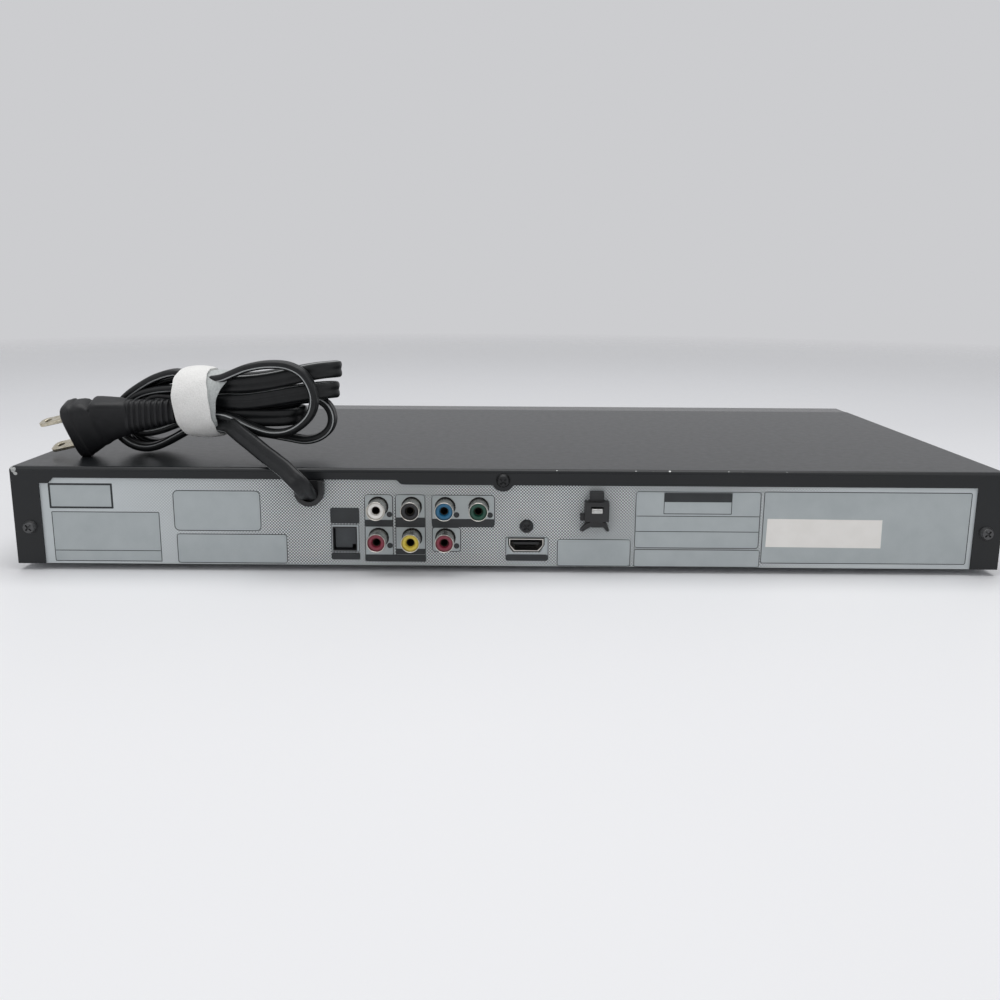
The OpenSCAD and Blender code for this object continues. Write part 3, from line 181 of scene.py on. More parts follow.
route += laid(ALONG_Y, (122, 77, 85), (116.3, 77, 87.2), (106.9, 77, 88.8), (98.2, 77, 88.2),
              (92.1, 77, 85.1), (88.5, 77, 79.9), (87, 77, 73.6), (88.4, 77, 67.3), (92.7, 77, 62.2),
              (99.1, 77, 58.6), (106.7, 77, 57.9), (115.1, 77, 60.3), (122.4, 77, 63.8), (127.5, 76.5, 65.6),
              (133, 74, 65.6), (139, 70.5, 64.6), (146, 67.2, 62.8))
route += laid(ALONG_Y, (152, 66.5, 60.6), (160, 66, 57.7), (167, 65.2, 56.4), (172.5, 64.6, 57.6),
              (176, 64.3, 61.4), (176.6, 64.2, 66), (174, 64.5, 70.4), (168.5, 65.3, 73.9),
              (161.6, 66.2, 75.9), (153.7, 66.8, 76.7), (147, 67, 76.9))
route += [((141, 68.5, 77.6), TURNING), ((134, 70.3, 78.8), TURNED)]
route += laid(ALONG_Z, (127, 71.4, 79.3), (118.7, 71.2, 79.6), (107.8, 71, 80.9), (97.1, 71, 83.2),
              (89, 70.6, 85), (83.5, 69.5, 85.8), (79.6, 67, 86), (78.2, 64, 85.9), (79.6, 61, 85.7),
              (83.5, 58.6, 85.2), (90, 57.6, 84.4), (100, 57.5, 82.6), (115, 57.5, 80.2), (127, 57.6, 79.4))
route += [((134, 58, 79.6), TURNED), ((141, 58.8, 80.2), TURNING)]
route += laid(ALONG_Y, (147, 59.3, 80.6), (154, 59, 80.6), (162, 58.4, 78.4), (169, 57.8, 74.4),
              (175, 57.5, 68.6), (177.8, 57.4, 62), (176, 57.4, 55.8), (171, 57.5, 51.4),
              (164.5, 57.9, 50.2), (157.5, 58.4, 52.4), (150.5, 59, 56.4), (145.5, 59.3, 59.2))
route += [((140, 59, 61.2), TURNING), ((134, 58.2, 63), TURNED)]
route += laid(ALONG_Z, (127, 57.6, 63.9), (115, 57.5, 64.2), (104, 57.8, 65), (98.5, 59.2, 65.2),
              (95.6, 61.6, 65.2), (94.8, 64.2, 65), (95.6, 66.8, 64.8), (98.5, 69.4, 64.4),
              (104, 70.8, 64), (110, 71, 63.9), (117.1, 71, 64), (127, 71.2, 64.2))
route += [((134, 70.2, 65.2), TURNED), ((140.5, 68.4, 66.6), TURNING)]
route += laid(ALONG_Y, (147, 66.8, 67.3), (152, 66.4, 65.6), (156.5, 66, 62.2), (161, 65.8, 60.8),
              (165.3, 65.6, 62.4), (167.3, 65.5, 66.6), (165.3, 65.6, 71), (161, 65.9, 72.9),
              (156, 66.3, 72.8), (151.5, 66.6, 72.4), (147, 66.8, 72))
route += [((141, 68.2, 71.8), TURNING), ((134, 70.4, 71.6), TURNED)]
route += laid(ALONG_Z, (127, 71.3, 71.4), (119, 71.1, 71.4), (108.1, 71, 72.9), (97.4, 71, 74.8),
              (89.5, 70.4, 76), (84, 69, 76.5), (80.6, 66.8, 76.6), (79.5, 64, 76.5), (80.6, 61.2, 76.3),
              (84, 59, 76), (90, 57.8, 75.4), (100, 57.5, 74), (115, 57.5, 72.2), (127, 57.6, 71.6))
route += [((134, 58, 72.8), TURNED), ((141, 58.8, 74.6), TURNING)]
route += laid(ALONG_Y, (147, 59.3, 75.6), (153.5, 59, 75.8), (161, 58.5, 73.6), (167, 58, 69.6),
              (169.6, 57.8, 64.6), (167.5, 57.8, 59.6), (162, 58.2, 57.4), (155.5, 58.8, 59.6),
              (150, 59.2, 62.4), (146, 59.3, 63.8), (140, 60.8, 63.2), (134, 64.5, 61.2),
              (127.5, 67.8, 59.6))
route += laid(ALONG_Y, (121, 69.3, 58.6), (115, 69.8, 57.6), (106, 70, 56.2), (100.4, 70, 55.2),
              (92, 70, 54), (85.9, 69.4, 55.6), (82.3, 68.2, 58.6), (80.9, 66.8, 62.6), (81.8, 65.4, 67),
              (85, 64.3, 70.6), (90, 63.9, 72), (98, 64, 71.2), (106, 64.2, 69.8), (115, 64.3, 68.8),
              (127, 64.8, 68.2))
route += [((134, 68.5, 68.2), (0, 0.8, 0.6)), ((140, 74, 68.5), (0, 0.3, 0.95)),
          ((146, 77.9, 68.5), ALONG_Z), ((150.5, 78.2, 67.8), ALONG_Z)]


def curved(stations, spacing):
    """Even steps along a smooth curve through the stations, with the width's direction at each."""
    points = [Vector(point) for point, _ in stations]
    across = [Vector(direction).normalized() for _, direction in stations]
    points = [points[0] * 2 - points[1]] + points + [points[-1] * 2 - points[-2]]
    across = [across[0]] + across + [across[-1]]
    knots = [0.0]
    for a, b in zip(points, points[1:]):
        knots.append(knots[-1] + max((b - a).length, 1e-6) ** 0.5)
    steps = []
    for i in range(1, len(points) - 2):
        t0, t1, t2, t3 = knots[i - 1:i + 3]
        count = max(2, round((points[i + 1] - points[i]).length / spacing))
        for k in range(count):
            t = t1 + (t2 - t1) * k / count
            a = points[i - 1].lerp(points[i], (t - t0) / (t1 - t0))
            b = points[i].lerp(points[i + 1], (t - t1) / (t2 - t1))
            c = points[i + 1].lerp(points[i + 2], (t - t2) / (t3 - t2))
            d = a.lerp(b, (t - t0) / (t2 - t0))
            e = b.lerp(c, (t - t1) / (t3 - t1))
            blend = k / count
            turning = blend * blend * (3 - 2 * blend)
            steps.append((d.lerp(e, (t - t1) / (t2 - t1)), across[i].lerp(across[i + 1], turning)))
    return steps + [(points[-2], across[-2])]


def heading(steps, i):
    """The direction in which a curve runs at its step i."""
    return (steps[min(i + 1, len(steps) - 1)][0] - steps[max(i - 1, 0)][0]).normalized()


def loft(bm, rings):
    """A closed skin drawn through rings of points, each ring extruded from the one before."""
    bmesh.ops.create_circle(bm, cap_ends=True, segments=len(rings[0]), radius=MM)
    bm.faces.ensure_lookup_table()
    end = bm.faces[-1]
    for vertex, point in zip(end.verts, rings[0]):
        vertex.co = point
    cap = bmesh.ops.duplicate(bm, geom=[end])
    last = [item for item in cap["geom"] if isinstance(item, bmesh.types.BMFace)][0]
    for ring in rings[1:]:
        last = bmesh.ops.extrude_discrete_faces(bm, faces=[last])["faces"][0]
        for vertex, point in zip(last.verts, ring):
            vertex.co = point
    bmesh.ops.remove_doubles(bm, verts=bm.verts, dist=1e-6)


def rounded_place(point):
    """A point's place, rounded so that it can be found again."""
    return tuple(round(c, 7) for c in point)


twin_outline = [(3.85, 0), (3.72, 0.9), (3.28, 1.52), (2.5, 1.84), (1.45, 1.86), (0.62, 1.66), (0, 1.5),
                (-0.62, 1.66), (-1.45, 1.86), (-2.5, 1.84), (-3.28, 1.52), (-3.72, 0.9)]
twin_outline += [(-x, -y) for x, y in twin_outline]
steps = curved(route, spacing=1.7)
rings = []
for i, (point, across) in enumerate(steps):
    ahead = heading(steps, i)
    wide = (across - ahead * across.dot(ahead)).normalized()
    thick = ahead.cross(wide)
    rings.append([(point + wide * u + thick * v) * MM for u, v in twin_outline])
bm = bmesh.new()
loft(bm, rings)
line_corner = 1
on_line = {rounded_place(ring[line_corner]) for ring in rings}
edge_line = bm.verts.layers.float.new("edge_line")
for vertex in bm.verts:
    vertex[edge_line] = 1.0 if rounded_place(vertex.co) in on_line else 0.0

cord_vinyl, tree, shader = new_material("cord_vinyl")
body_tone = ramp(tree, grain(tree, 260), (0.007, 0.0078, 0.0085), (0.013, 0.014, 0.015))
near_line = add_node(tree, "ShaderNodeAttribute", attribute_name="edge_line").outputs["Fac"]
line_share = between(tree, near_line, 0.58, 0.78, 0.0, 0.75)
feed(tree, shader, {"Base Color": mixed(tree, line_share, body_tone, (0.56, 0.58, 0.58, 1)),
                    "Roughness": 0.34, "Specular IOR Level": 0.32})
bump(tree, shader, grain(tree, 1500), 0.00006, 0.5)

mains_cord = finished(bm, "mains_cord", "case", cord_vinyl, angle=60)
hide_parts("cord_lead", "cord_hank")

# ---------------------------------------------------------------- plug
# Two-blade plug moulded in one with a ribbed sleeve that keeps the cord from kinking. It lies on
# the lower corner of its flange, rolled a little, with its nose down.

plug_seat = (Matrix.Translation(at_mm(169.3, 76.6, 65)) @ Matrix.Rotation(math.radians(-3), 4, "Z")
             @ Matrix.Rotation(math.radians(13), 4, "Y") @ Matrix.Rotation(math.radians(-19), 4, "X"))


def squared_ring(half_wide, top, bottom, power, count=32):
    """Points round a rectangle with very round corners, as (across, up) pairs."""
    middle, high = (top + bottom) / 2, top - bottom
    ring = []
    for i in range(count):
        turn = 2 * math.pi * (i + 0.5) / count
        c, s = math.cos(turn), math.sin(turn)
        across = half_wide * math.copysign(abs(c) ** (2 / power), c)
        up = math.copysign(abs(s) ** (2 / power), s)
        ring.append((across, middle + up * high / 2))
    return ring


# Places along the plug, with its half width, top, bottom and squareness at each.
body_stations = [(-0.6, 4.4, 7.4, -6.6, 3.2), (0.2, 5, 8.3, -7.3, 3.4), (3, 5.4, 9.2, -7.4, 4.6),
                 (8, 5.7, 10.5, -7.3, 6), (11, 5.9, 11.3, -8, 6.5), (13.2, 6, 11.8, -8.9, 6.5),
                 (14.2, 6, 11.6, -9.2, 6), (14.9, 5.9, 10.3, -9.3, 5.5), (15.6, 5.9, 9.8, -9.5, 5.5),
                 (16.3, 6.1, 10.6, -9.8, 5), (17.3, 6.4, 11.7, -10.3, 4.6), (19, 6.7, 12.4, -11, 4.2),
                 (21.2, 6.9, 12.7, -12, 4), (22.6, 6.9, 12.6, -12.2, 4), (22.9, 7.1, 12.7, -12.3, 4),
                 (23.2, 7.6, 13.1, -12.8, 4), (23.6, 7.7, 13.3, -13, 4), (26.6, 7.7, 13.1, -13, 4),
                 (27.2, 7.6, 12.7, -12.8, 4), (27.6, 7.2, 12.1, -12.4, 4), (27.8, 6.6, 11.4, -11.8, 4)]
bm = bmesh.new()
loft(bm, [[plug_seat @ at_mm(x, a, b) for a, b in squared_ring(half_wide, top, bottom, power)]
          for x, half_wide, top, bottom, power in body_stations])

sleeve_route = laid(ALONG_Z, (145.5, 78.2, 68.4), (149.8, 78.1, 67.8), (154.2, 77.9, 67.1),
                    (158.4, 77.7, 66.5), (162.4, 77.4, 66), (166.4, 77, 65.5), (170.2, 76.6, 64.9))
sleeve_steps = curved(sleeve_route, spacing=0.5)
last_step = len(sleeve_steps) - 1
rib_heights = (0.0, 0.1, 1.0, 1.0, 0.9)
sleeve_rings = []
for i, (point, across) in enumerate(sleeve_steps):
    thick = heading(sleeve_steps, i).cross(across).normalized()
    share = i / last_step
    rib = rib_heights[i % 5] if 2 < i < last_step - 3 else 0.9
    high, deep = 4.3 + 2.9 * share + 0.7 * rib, 2.6 + 1.9 * share + 1.0 * rib
    outline = squared_ring(deep, high, -high, 3.2, count=24)
    sleeve_rings.append([(point + thick * a + across * b) * MM for a, b in outline])
sleeve = bmesh.new()
loft(sleeve, sleeve_rings)
joined = bpy.data.meshes.new("sleeve")
sleeve.to_mesh(joined)
sleeve.free()
bm.from_mesh(joined)
bpy.data.meshes.remove(joined)

plug_vinyl, tree, shader = new_material("plug_vinyl")
plug_tone = ramp(tree, grain(tree, 190), (0.007, 0.0074, 0.0085), (0.013, 0.0134, 0.015), high=0.72)
feed(tree, shader, {"Base Color": plug_tone, "Roughness": 0.45, "Specular IOR Level": 0.32})
bump(tree, shader, grain(tree, 900), 0.00008, 0.6)
plug = finished(bm, "plug_moulding", "case", plug_vinyl, angle=50)
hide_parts("plug_body")

# Blades: flat brass stampings, nickel-washed and a little scratched, one wider than the other, each
# with a hole near its chamfered tip.


def plate(bm, outlines, thickness, seat):
    """A flat plate with holes: outlines are loops of (x, y) in mm, the first the outer one, and
    seat is the matrix that takes the plate's own plane to its place."""
    ground, edges = [], []
    for outline in outlines:
        loop = [bm.verts.new((x * MM, y * MM, 0)) for x, y in outline]
        ground += loop
        edges += [bm.edges.new((a, b)) for a, b in zip(loop, loop[1:] + loop[:1])]
    filled = bmesh.ops.triangle_fill(bm, edges=edges, use_beauty=True, use_dissolve=False)
    faces = [item for item in filled["geom"] if isinstance(item, bmesh.types.BMFace)]
    grown = bmesh.ops.extrude_face_region(bm, geom=faces)
    lifted = [item for item in grown["geom"] if isinstance(item, bmesh.types.BMVert)]
    bmesh.ops.translate(bm, verts=lifted, vec=(0, 0, thickness * MM))
    bmesh.ops.transform(bm, matrix=seat, verts=ground + lifted)


def circle_outline(x, y, radius, count=24):
    """Points round a circle, in mm."""
    turns = [2 * math.pi * i / count for i in range(count)]
    return [(x + radius * math.cos(turn), y + radius * math.sin(turn)) for turn in turns]


def round_edges(piece, width):
    """Rounds a piece's sharp edges by width mm."""
    bevel = piece.modifiers.new("edges", "BEVEL")
    bevel.width, bevel.segments, bevel.limit_method = width * MM, 2, "ANGLE"
    return bevel


blade_thick, blade_apart, hole_at = 1.5, 6.35, 37.2
bm = bmesh.new()
for side_sign, half in ((1, 3.2), (-1, 4)):
    outline = [(23.6, -half), (39, -half), (40.4, 0.7 - half), (41.2, 1.9 - half),
               (41.2, half - 1.9), (40.4, half - 0.7), (39, half), (23.6, half)]
    plate(bm, [outline, circle_outline(hole_at, 0, 1.6)], blade_thick,
          plug_seat @ Matrix.Translation(at_mm(0, 0, side_sign * blade_apart - blade_thick / 2)))
brass, tree, shader = new_material("blade_metal")
feed(tree, shader, {
    "Base Color": ramp(tree, grain(tree, 420, 6), (0.46, 0.41, 0.30), (0.66, 0.62, 0.52), low=0.35),
    "Roughness": between(tree, grain(tree, 1300), 0.3, 0.7, 0.22, 0.42), "Metallic": 1.0})
blades = finished(bm, "plug_blade_pair", "case", brass)
round_edges(blades, 0.22)
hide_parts("plug_blades")

# ---------------------------------------------------------------- strap
# Hook-and-loop strap: a strip of white brushed tape wound twice round the hank and the end of the
# sleeve. Its first turn slants out from under the second, thinner and more see-through.

BUNDLE_Y, BUNDLE_Z = 68.7, 71.2
BUNDLE_DEEP, BUNDLE_HIGH = 14.0, 14.3


def strap_turn(bm, left, right, grow, thickness, ruffle, segments=96, rows_across=10):
    """One turn of tape: left and right give its edges (x) all the way round, grow its distance
    from the bundle and ruffle the depth of its small waves."""
    newest = bmesh.ops.create_circle(bm, cap_ends=False, segments=segments, radius=1)["verts"]
    for step in range(rows_across):
        row = set(newest)
        edges = {edge for vertex in row for edge in vertex.link_edges if set(edge.verts) <= row}
        new = bmesh.ops.extrude_edge_only(bm, edges=list(edges))["geom"]
        newest = [item for item in new if isinstance(item, bmesh.types.BMVert)]
        for vertex in newest:
            vertex.co.z = (step + 1) / rows_across
    for vertex in bm.verts:
        turn, share = math.atan2(vertex.co.y, vertex.co.x), vertex.co.z
        c, s = math.cos(turn), math.sin(turn)
        swell = 0.9 * math.sin(math.pi * share) ** 0.6 - 0.6
        waves = math.sin(5 * turn + 3 * share) + 0.6 * math.sin(11 * turn - 7 * share)
        reach = grow + swell + ruffle * waves * (0.4 + 1.2 * abs(share - 0.5))
        y = BUNDLE_Y + (BUNDLE_DEEP + reach) * math.copysign(abs(c) ** 0.76, c)
        z = BUNDLE_Z + (BUNDLE_HIGH + reach) * math.copysign(abs(s) ** 0.84, s)
        vertex.co = at_mm(left(turn) + (right(turn) - left(turn)) * share, y, z)
    bmesh.ops.recalc_face_normals(bm, faces=bm.faces)
    bmesh.ops.solidify(bm, geom=bm.faces[:], thickness=thickness * MM)


def outer_left(turn):
    """The outer turn's edge towards the plug."""
    return (142 + 6.2 * (0.5 + 0.5 * math.cos(turn)) ** 1.4 + 1.5 * math.sin(turn)
            + 0.15 * math.sin(9 * turn))


def outer_right(turn):
    """The outer turn's edge towards the folds."""
    return 132.6 + 2.2 * math.sin(turn) + 0.12 * math.sin(13 * turn)


def inner_left(turn):
    """The inner turn's edge that lies under the outer turn."""
    return 139 - 2 * math.sin(turn) ** 2


def inner_right(turn):
    """The inner turn's edge that slants out from under the outer turn."""
    return 130.4 - 6.4 * max(math.sin(turn + 0.35), 0) ** 3 + 0.1 * math.sin(15 * turn)


bm = bmesh.new()
strap_turn(bm, outer_left, outer_right, grow=0.5, thickness=1.1, ruffle=0.16)
tape_cloth, tree, shader = new_material("white_tape")
nap = grain(tree, 1500, 6, 0.65)
feed(tree, shader, {"Base Color": ramp(tree, nap, (0.86, 0.855, 0.83), (0.96, 0.955, 0.93), 0.32, 0.62),
                    "Roughness": 0.88, "Sheen Weight": 0.2})
bump(tree, shader, nap, 0.0004, 0.8)
strap = finished(bm, "strap_outer_turn", "case", tape_cloth, angle=70)
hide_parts("cord_tie")

bm = bmesh.new()
strap_turn(bm, inner_left, inner_right, grow=-0.75, thickness=0.5, ruffle=0.1)
thin_tape, tree, shader = new_material("thin_tape")
nap = grain(tree, 1200, 5)
feed(tree, shader, {"Base Color": ramp(tree, nap, (0.54, 0.57, 0.56), (0.74, 0.77, 0.76)),
                    "Roughness": 0.6, "Transmission Weight": 0.3})
bump(tree, shader, nap, 0.0002, 0.7)
inner_strap = finished(bm, "strap_inner_turn", "case", thin_tape, angle=70)
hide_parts("cord_tie")

# ---------------------------------------------------------------- table and light
# The player stands on a plain pale table that fades into the bright room behind it, under large
# soft lamps.


def number(tree, operation, first, second=0.0):
    """One step of arithmetic between numbers or nodes' outputs."""
    return add_node(tree, "ShaderNodeMath", {0: first, 1: second}, operation=operation).outputs[0]


def coordinate(tree, vector, axis):
    """One coordinate of a vector."""
    return add_node(tree, "ShaderNodeSeparateXYZ", {"Vector": vector}).outputs[axis]


bm = bmesh.new()
bmesh.ops.create_circle(bm, cap_ends=True, segments=96, radius=1.9)
table_white, tree, shader = new_material("table_white")
place = own_place(tree)
reach = add_node(tree, "ShaderNodeVectorMath", {0: place}, operation="LENGTH").outputs["Value"]
front_share = between(tree, coordinate(tree, place, "Y"), -0.35, 0.25)
front_tone = ramp(tree, grain(tree, 3, 2), (0.86, 0.862, 0.875), (0.89, 0.892, 0.90), 0.2, 0.8)
feed(tree, shader, {"Base Color": mixed(tree, front_share, (0.74, 0.745, 0.76, 1), front_tone),
                    "Alpha": between(tree, reach, 0.75, 1.85, 1.0, 0.0), "Roughness": 0.62})
table = bpy.data.meshes.new("table")
bm.to_mesh(table)
bm.free()
table.materials.append(table_white)
table_top = bpy.data.objects.new("table", table)
bpy.context.scene.collection.objects.link(table_top)

room = bpy.context.scene.world or bpy.data.worlds.new("room")
bpy.context.scene.world = room
room.use_nodes = True
tree = room.node_tree
tree.nodes.clear()
rays = add_node(tree, "ShaderNodeLightPath").outputs
seen = number(tree, "MAXIMUM", rays["Is Camera Ray"], rays["Is Glossy Ray"])
seen = number(tree, "MAXIMUM", seen, rays["Is Transmission Ray"])
wall = add_node(tree, "ShaderNodeBackground", {"Color": (0.605, 0.608, 0.625, 1), "Strength": 1.0})
air = add_node(tree, "ShaderNodeBackground", {"Color": (0.95, 0.96, 1.0, 1), "Strength": 0.36})
both = add_node(tree, "ShaderNodeMixShader", {0: seen, 1: air.outputs[0], 2: wall.outputs[0]})
add_node(tree, "ShaderNodeOutputWorld", {"Surface": both.outputs[0]})


def lamp(name, place, aim, wide, high, power):
    """A large soft lamp."""
    light = bpy.data.lights.new(name, "AREA")
    light.shape, light.size, light.size_y, light.energy = "RECTANGLE", wide, high, power
    made = bpy.data.objects.new(name, light)
    bpy.context.scene.collection.objects.link(made)
    made.location = place
    made.rotation_euler = (Vector(aim) - Vector(place)).to_track_quat("-Z", "Y").to_euler()


lamp("overhead", (0.0, 0.0, 1.5), aim=(0, 0, 0), wide=1.8, high=1.4, power=18)
lamp("left", (1.1, 1.0, 0.9), aim=(0, 0.1, 0.02), wide=0.9, high=0.7, power=1.8)
lamp("right", (-1.2, 0.9, 0.8), aim=(0, 0.1, 0.02), wide=0.9, high=0.7, power=1.4)

# ---------------------------------------------------------------- cover and pan
# Steel cover in satin charcoal paint, bent from one sheet and screwed on at the back. The paint is
# chipped at a corner and here and there along its edges. The pan below it is plain plated sheet.


def dress(node, material, edge=0.0):
    """Gives a solid its finish, and edges rounded by edge mm."""
    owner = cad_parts[node]
    if not owner.data.materials:
        owner.data.materials.append(material)
    for slot in owner.material_slots:
        slot.material = material
    if edge:
        owner.modifiers.new("joined", "WELD").merge_threshold = 0.000004
        flat = owner.modifiers.new("flat", "DECIMATE")
        flat.decimate_type, flat.angle_limit = "DISSOLVE", math.radians(0.6)
        round_edges(owner, edge).angle_limit = math.radians(40)


def plain(name, dark, light, rough, metal=0.0, coat=0.0, scale=300, relief=0.00003):
    """A finish with a faint mottle, an uneven gloss and a fine relief; scale is the mottle's."""
    made, tree, shader = new_material(name)
    feed(tree, shader, {
        "Base Color": ramp(tree, grain(tree, scale), dark, light),
        "Roughness": between(tree, grain(tree, scale * 2), 0.3, 0.7, rough * 0.88, rough * 1.12),
        "Metallic": metal, "Coat Weight": coat})
    bump(tree, shader, grain(tree, 1600, 3), relief, 0.6)
    return made


# Places of the chips in the paint, and how far each reaches.
paint_chips = (((213.2, 99.65, 45), 1.3), ((212.4, 99.65, 43.3), 0.9), ((214.4, 99, 45.9), 1.0),
               ((-21, 99.4, 46.2), 0.45), ((-55, 99.4, 46.2), 0.4), ((-62.4, 99.5, 46.1), 0.35),
               ((-69.6, 99.4, 46.2), 0.6), ((-95, 99.4, 46.2), 0.4), ((-101, 99.5, 46.1), 0.3),
               ((-120, 99.4, 46.2), 0.35), ((122, 99.4, 46.2), 0.3), ((-214.6, 98.8, 45.9), 0.9),
               ((-214.2, -60, 46.2), 0.5), ((214.6, 12, 45.9), 0.5))
cover_paint, tree, shader = new_material("cover_paint")
place = own_place(tree)
ragged = number(tree, "ADD", grain(tree, 1100, 3), 0.45)
bare = 0.0
for spot, size in paint_chips:
    away = add_node(tree, "ShaderNodeVectorMath", {0: place, 1: at_mm(*spot)}, operation="DISTANCE")
    uneven = number(tree, "MULTIPLY", away.outputs["Value"], ragged)
    chip = between(tree, uneven, size * 0.0009, size * 0.00075)
    bare = number(tree, "MAXIMUM", bare, chip)
paint = ramp(tree, grain(tree, 35, 5), (0.0075, 0.0088, 0.0100), (0.0098, 0.0112, 0.0126))
feed(tree, shader, {"Base Color": mixed(tree, bare, paint, (0.42, 0.43, 0.42, 1)),
                    "Metallic": number(tree, "MULTIPLY", bare, 0.8), "Specular IOR Level": 0.38,
                    "Roughness": between(tree, grain(tree, 300, 6), 0.3, 0.7, 0.31, 0.35)})
bump(tree, shader, grain(tree, 2400, 2), 0.00003, 0.5)
dress("top_cover", cover_paint, edge=0.2)
plated_steel = plain("plated_steel", (0.48, 0.49, 0.50), (0.60, 0.61, 0.62), 0.38, metal=1.0, scale=500)
dress("chassis_pan", plated_steel)

# ---------------------------------------------------------------- rear panel
# Zinc-plated sheet, screen-printed with a fine diagonal dot screen that fades towards both ends.
# Frames, bars and dots round the sockets are printed over it in dark ink, on plain pale grounds.

FEET_HIGH = 3

# In metres, as shaders measure: the panel's outer face, the pitch of its dot screen, and where the
# screen begins and stops fading in from each end.
PANEL_FACE = 0.09885
SCREEN_PITCH = 0.00134
LEFT_FADE, RIGHT_FADE = (0.175, 0.10), (-0.150, -0.100)

panel_print, tree, shader = new_material("panel_print")
place = own_place(tree)
x, y, z = (coordinate(tree, place, axis) for axis in "XYZ")
waves = 2 * math.pi / SCREEN_PITCH
wave_across = number(tree, "SINE", number(tree, "MULTIPLY", x, waves))
wave_up = number(tree, "SINE", number(tree, "MULTIPLY", z, waves))
screen = between(tree, number(tree, "MULTIPLY", wave_across, wave_up), -0.22, 0.16)
from_ends = number(tree, "MULTIPLY", between(tree, x, *LEFT_FADE), between(tree, x, *RIGHT_FADE))
outside = between(tree, y, PANEL_FACE - 0.0002, PANEL_FACE - 0.00005)
inked = number(tree, "MULTIPLY", number(tree, "MULTIPLY", screen, outside),
               number(tree, "MULTIPLY", from_ends, 0.95))
end_tone = ramp(tree, grain(tree, 40, 3), (0.56, 0.60, 0.61), (0.61, 0.65, 0.66))
sheet_tone = mixed(tree, from_ends, end_tone, (0.80, 0.84, 0.845, 1))
feed(tree, shader, {"Base Color": mixed(tree, inked, sheet_tone, (0.05, 0.056, 0.06, 1)),
                    "Roughness": 0.46, "Specular IOR Level": 0.4})
bump(tree, shader, grain(tree, 1500, 3), 0.00003, 0.5)
dress("rear_panel", panel_print)

on_panel = Matrix.Rotation(math.radians(90), 4, "X")


def corners(x0, x1, z0, z1, r):
    """Points round a rectangle with round corners, in mm; heights are from the pan's underside."""
    points = []
    for cx, cz, start in ((x1 - r, z1 - r, 0), (x0 + r, z1 - r, 90),
                          (x0 + r, z0 + r, 180), (x1 - r, z0 + r, 270)):
        for k in range(5):
            a = math.radians(start + 22.5 * k)
            points.append((cx + r * math.cos(a), cz + FEET_HIGH + r * math.sin(a)))
    return points


def printed_layer(bm, outlines, lift, thickness=0.02):
    """A film on the panel, with its outer face lift mm above the panel's."""
    plate(bm, outlines, thickness, Matrix.Translation((0, PANEL_FACE + lift * MM, 0)) @ on_panel)


jack_x, jack_z = (12.6, 27.2, 41.8, 56.4), (12.5, 26.5)
green_at, blue_at, black_at, white_at = ((x, jack_z[1]) for x in jack_x)
low_red_at, yellow_at, red_at = ((x, jack_z[0]) for x in jack_x[1:])


def jack_gap(at):
    """The panel's hole round one jack."""
    return circle_outline(at[0], at[1] + FEET_HIGH, 4.6, count=28)


optical_gap = corners(65.75, 76.65, 6.5, 17.4, 0.1)
video_gap = [(-8.2 + x, 12.6 + z) for x, z in ((8.1, 3.4), (8.1, -0.4), (6, -3.4),
                                               (-6, -3.4), (-8.1, -0.4), (-8.1, 3.4))]
ground_lift, frame_lift, bar_lift, sticker_lift = 0.03, 0.06, 0.09, 0.15

# Each frame's rectangle, the width of its line, and the holes in its ground.
frames = [
    ((171.5, 199.3, 24.8, 36, 0.3), 0.85, []),
    ((151.8, 198.8, 1, 23.4, 0.5), 0.3, []),
    ((107.5, 145.5, 15.1, 33.2, 2.2), 0.32, []),
    ((96.5, 144.8, 0.5, 13.8, 1.2), 0.32, []),
    ((64.8, 77.2, 6, 18.4, 0.4), 0.3, [optical_gap]),
    ((49.9, 62.4, 1.9, 32, 1.6), 0.35, [jack_gap(white_at), jack_gap(red_at)]),
    ((35.8, 49, 1.9, 32.1, 1.6), 0.35, [jack_gap(black_at), jack_gap(yellow_at)]),
    ((5.6, 33.2, 17.5, 32, 1.6), 0.35, [jack_gap(blue_at), jack_gap(green_at)]),
    ((20.4, 33.1, 6.3, 17.5, 1.4), 0.35, [jack_gap(low_red_at)]),
    ((-17.9, 0.9, 2.45, 13.35, 1.0), 0.32, [video_gap]),
    ((-53.9, -21.7, 0.15, 12.5, 1.2), 0.32, []),
    ((-109.8, -55.4, 8.6, 34.1, 1.4), 0.32, []),
    ((-110.6, -55.4, 0, 8.1, 1.0), 0.32, []),
    ((-201, -111, 2, 34.3, 0.9), 0.32, []),
]
bm = bmesh.new()
for rectangle, _, gaps in frames:
    printed_layer(bm, [corners(*rectangle)] + gaps, ground_lift)
pale_ground = plain("pale_ink", (0.42, 0.46, 0.468), (0.475, 0.515, 0.522), 0.5, scale=80)
grounds = finished(bm, "printed_grounds", "case", pale_ground, smooth=False)

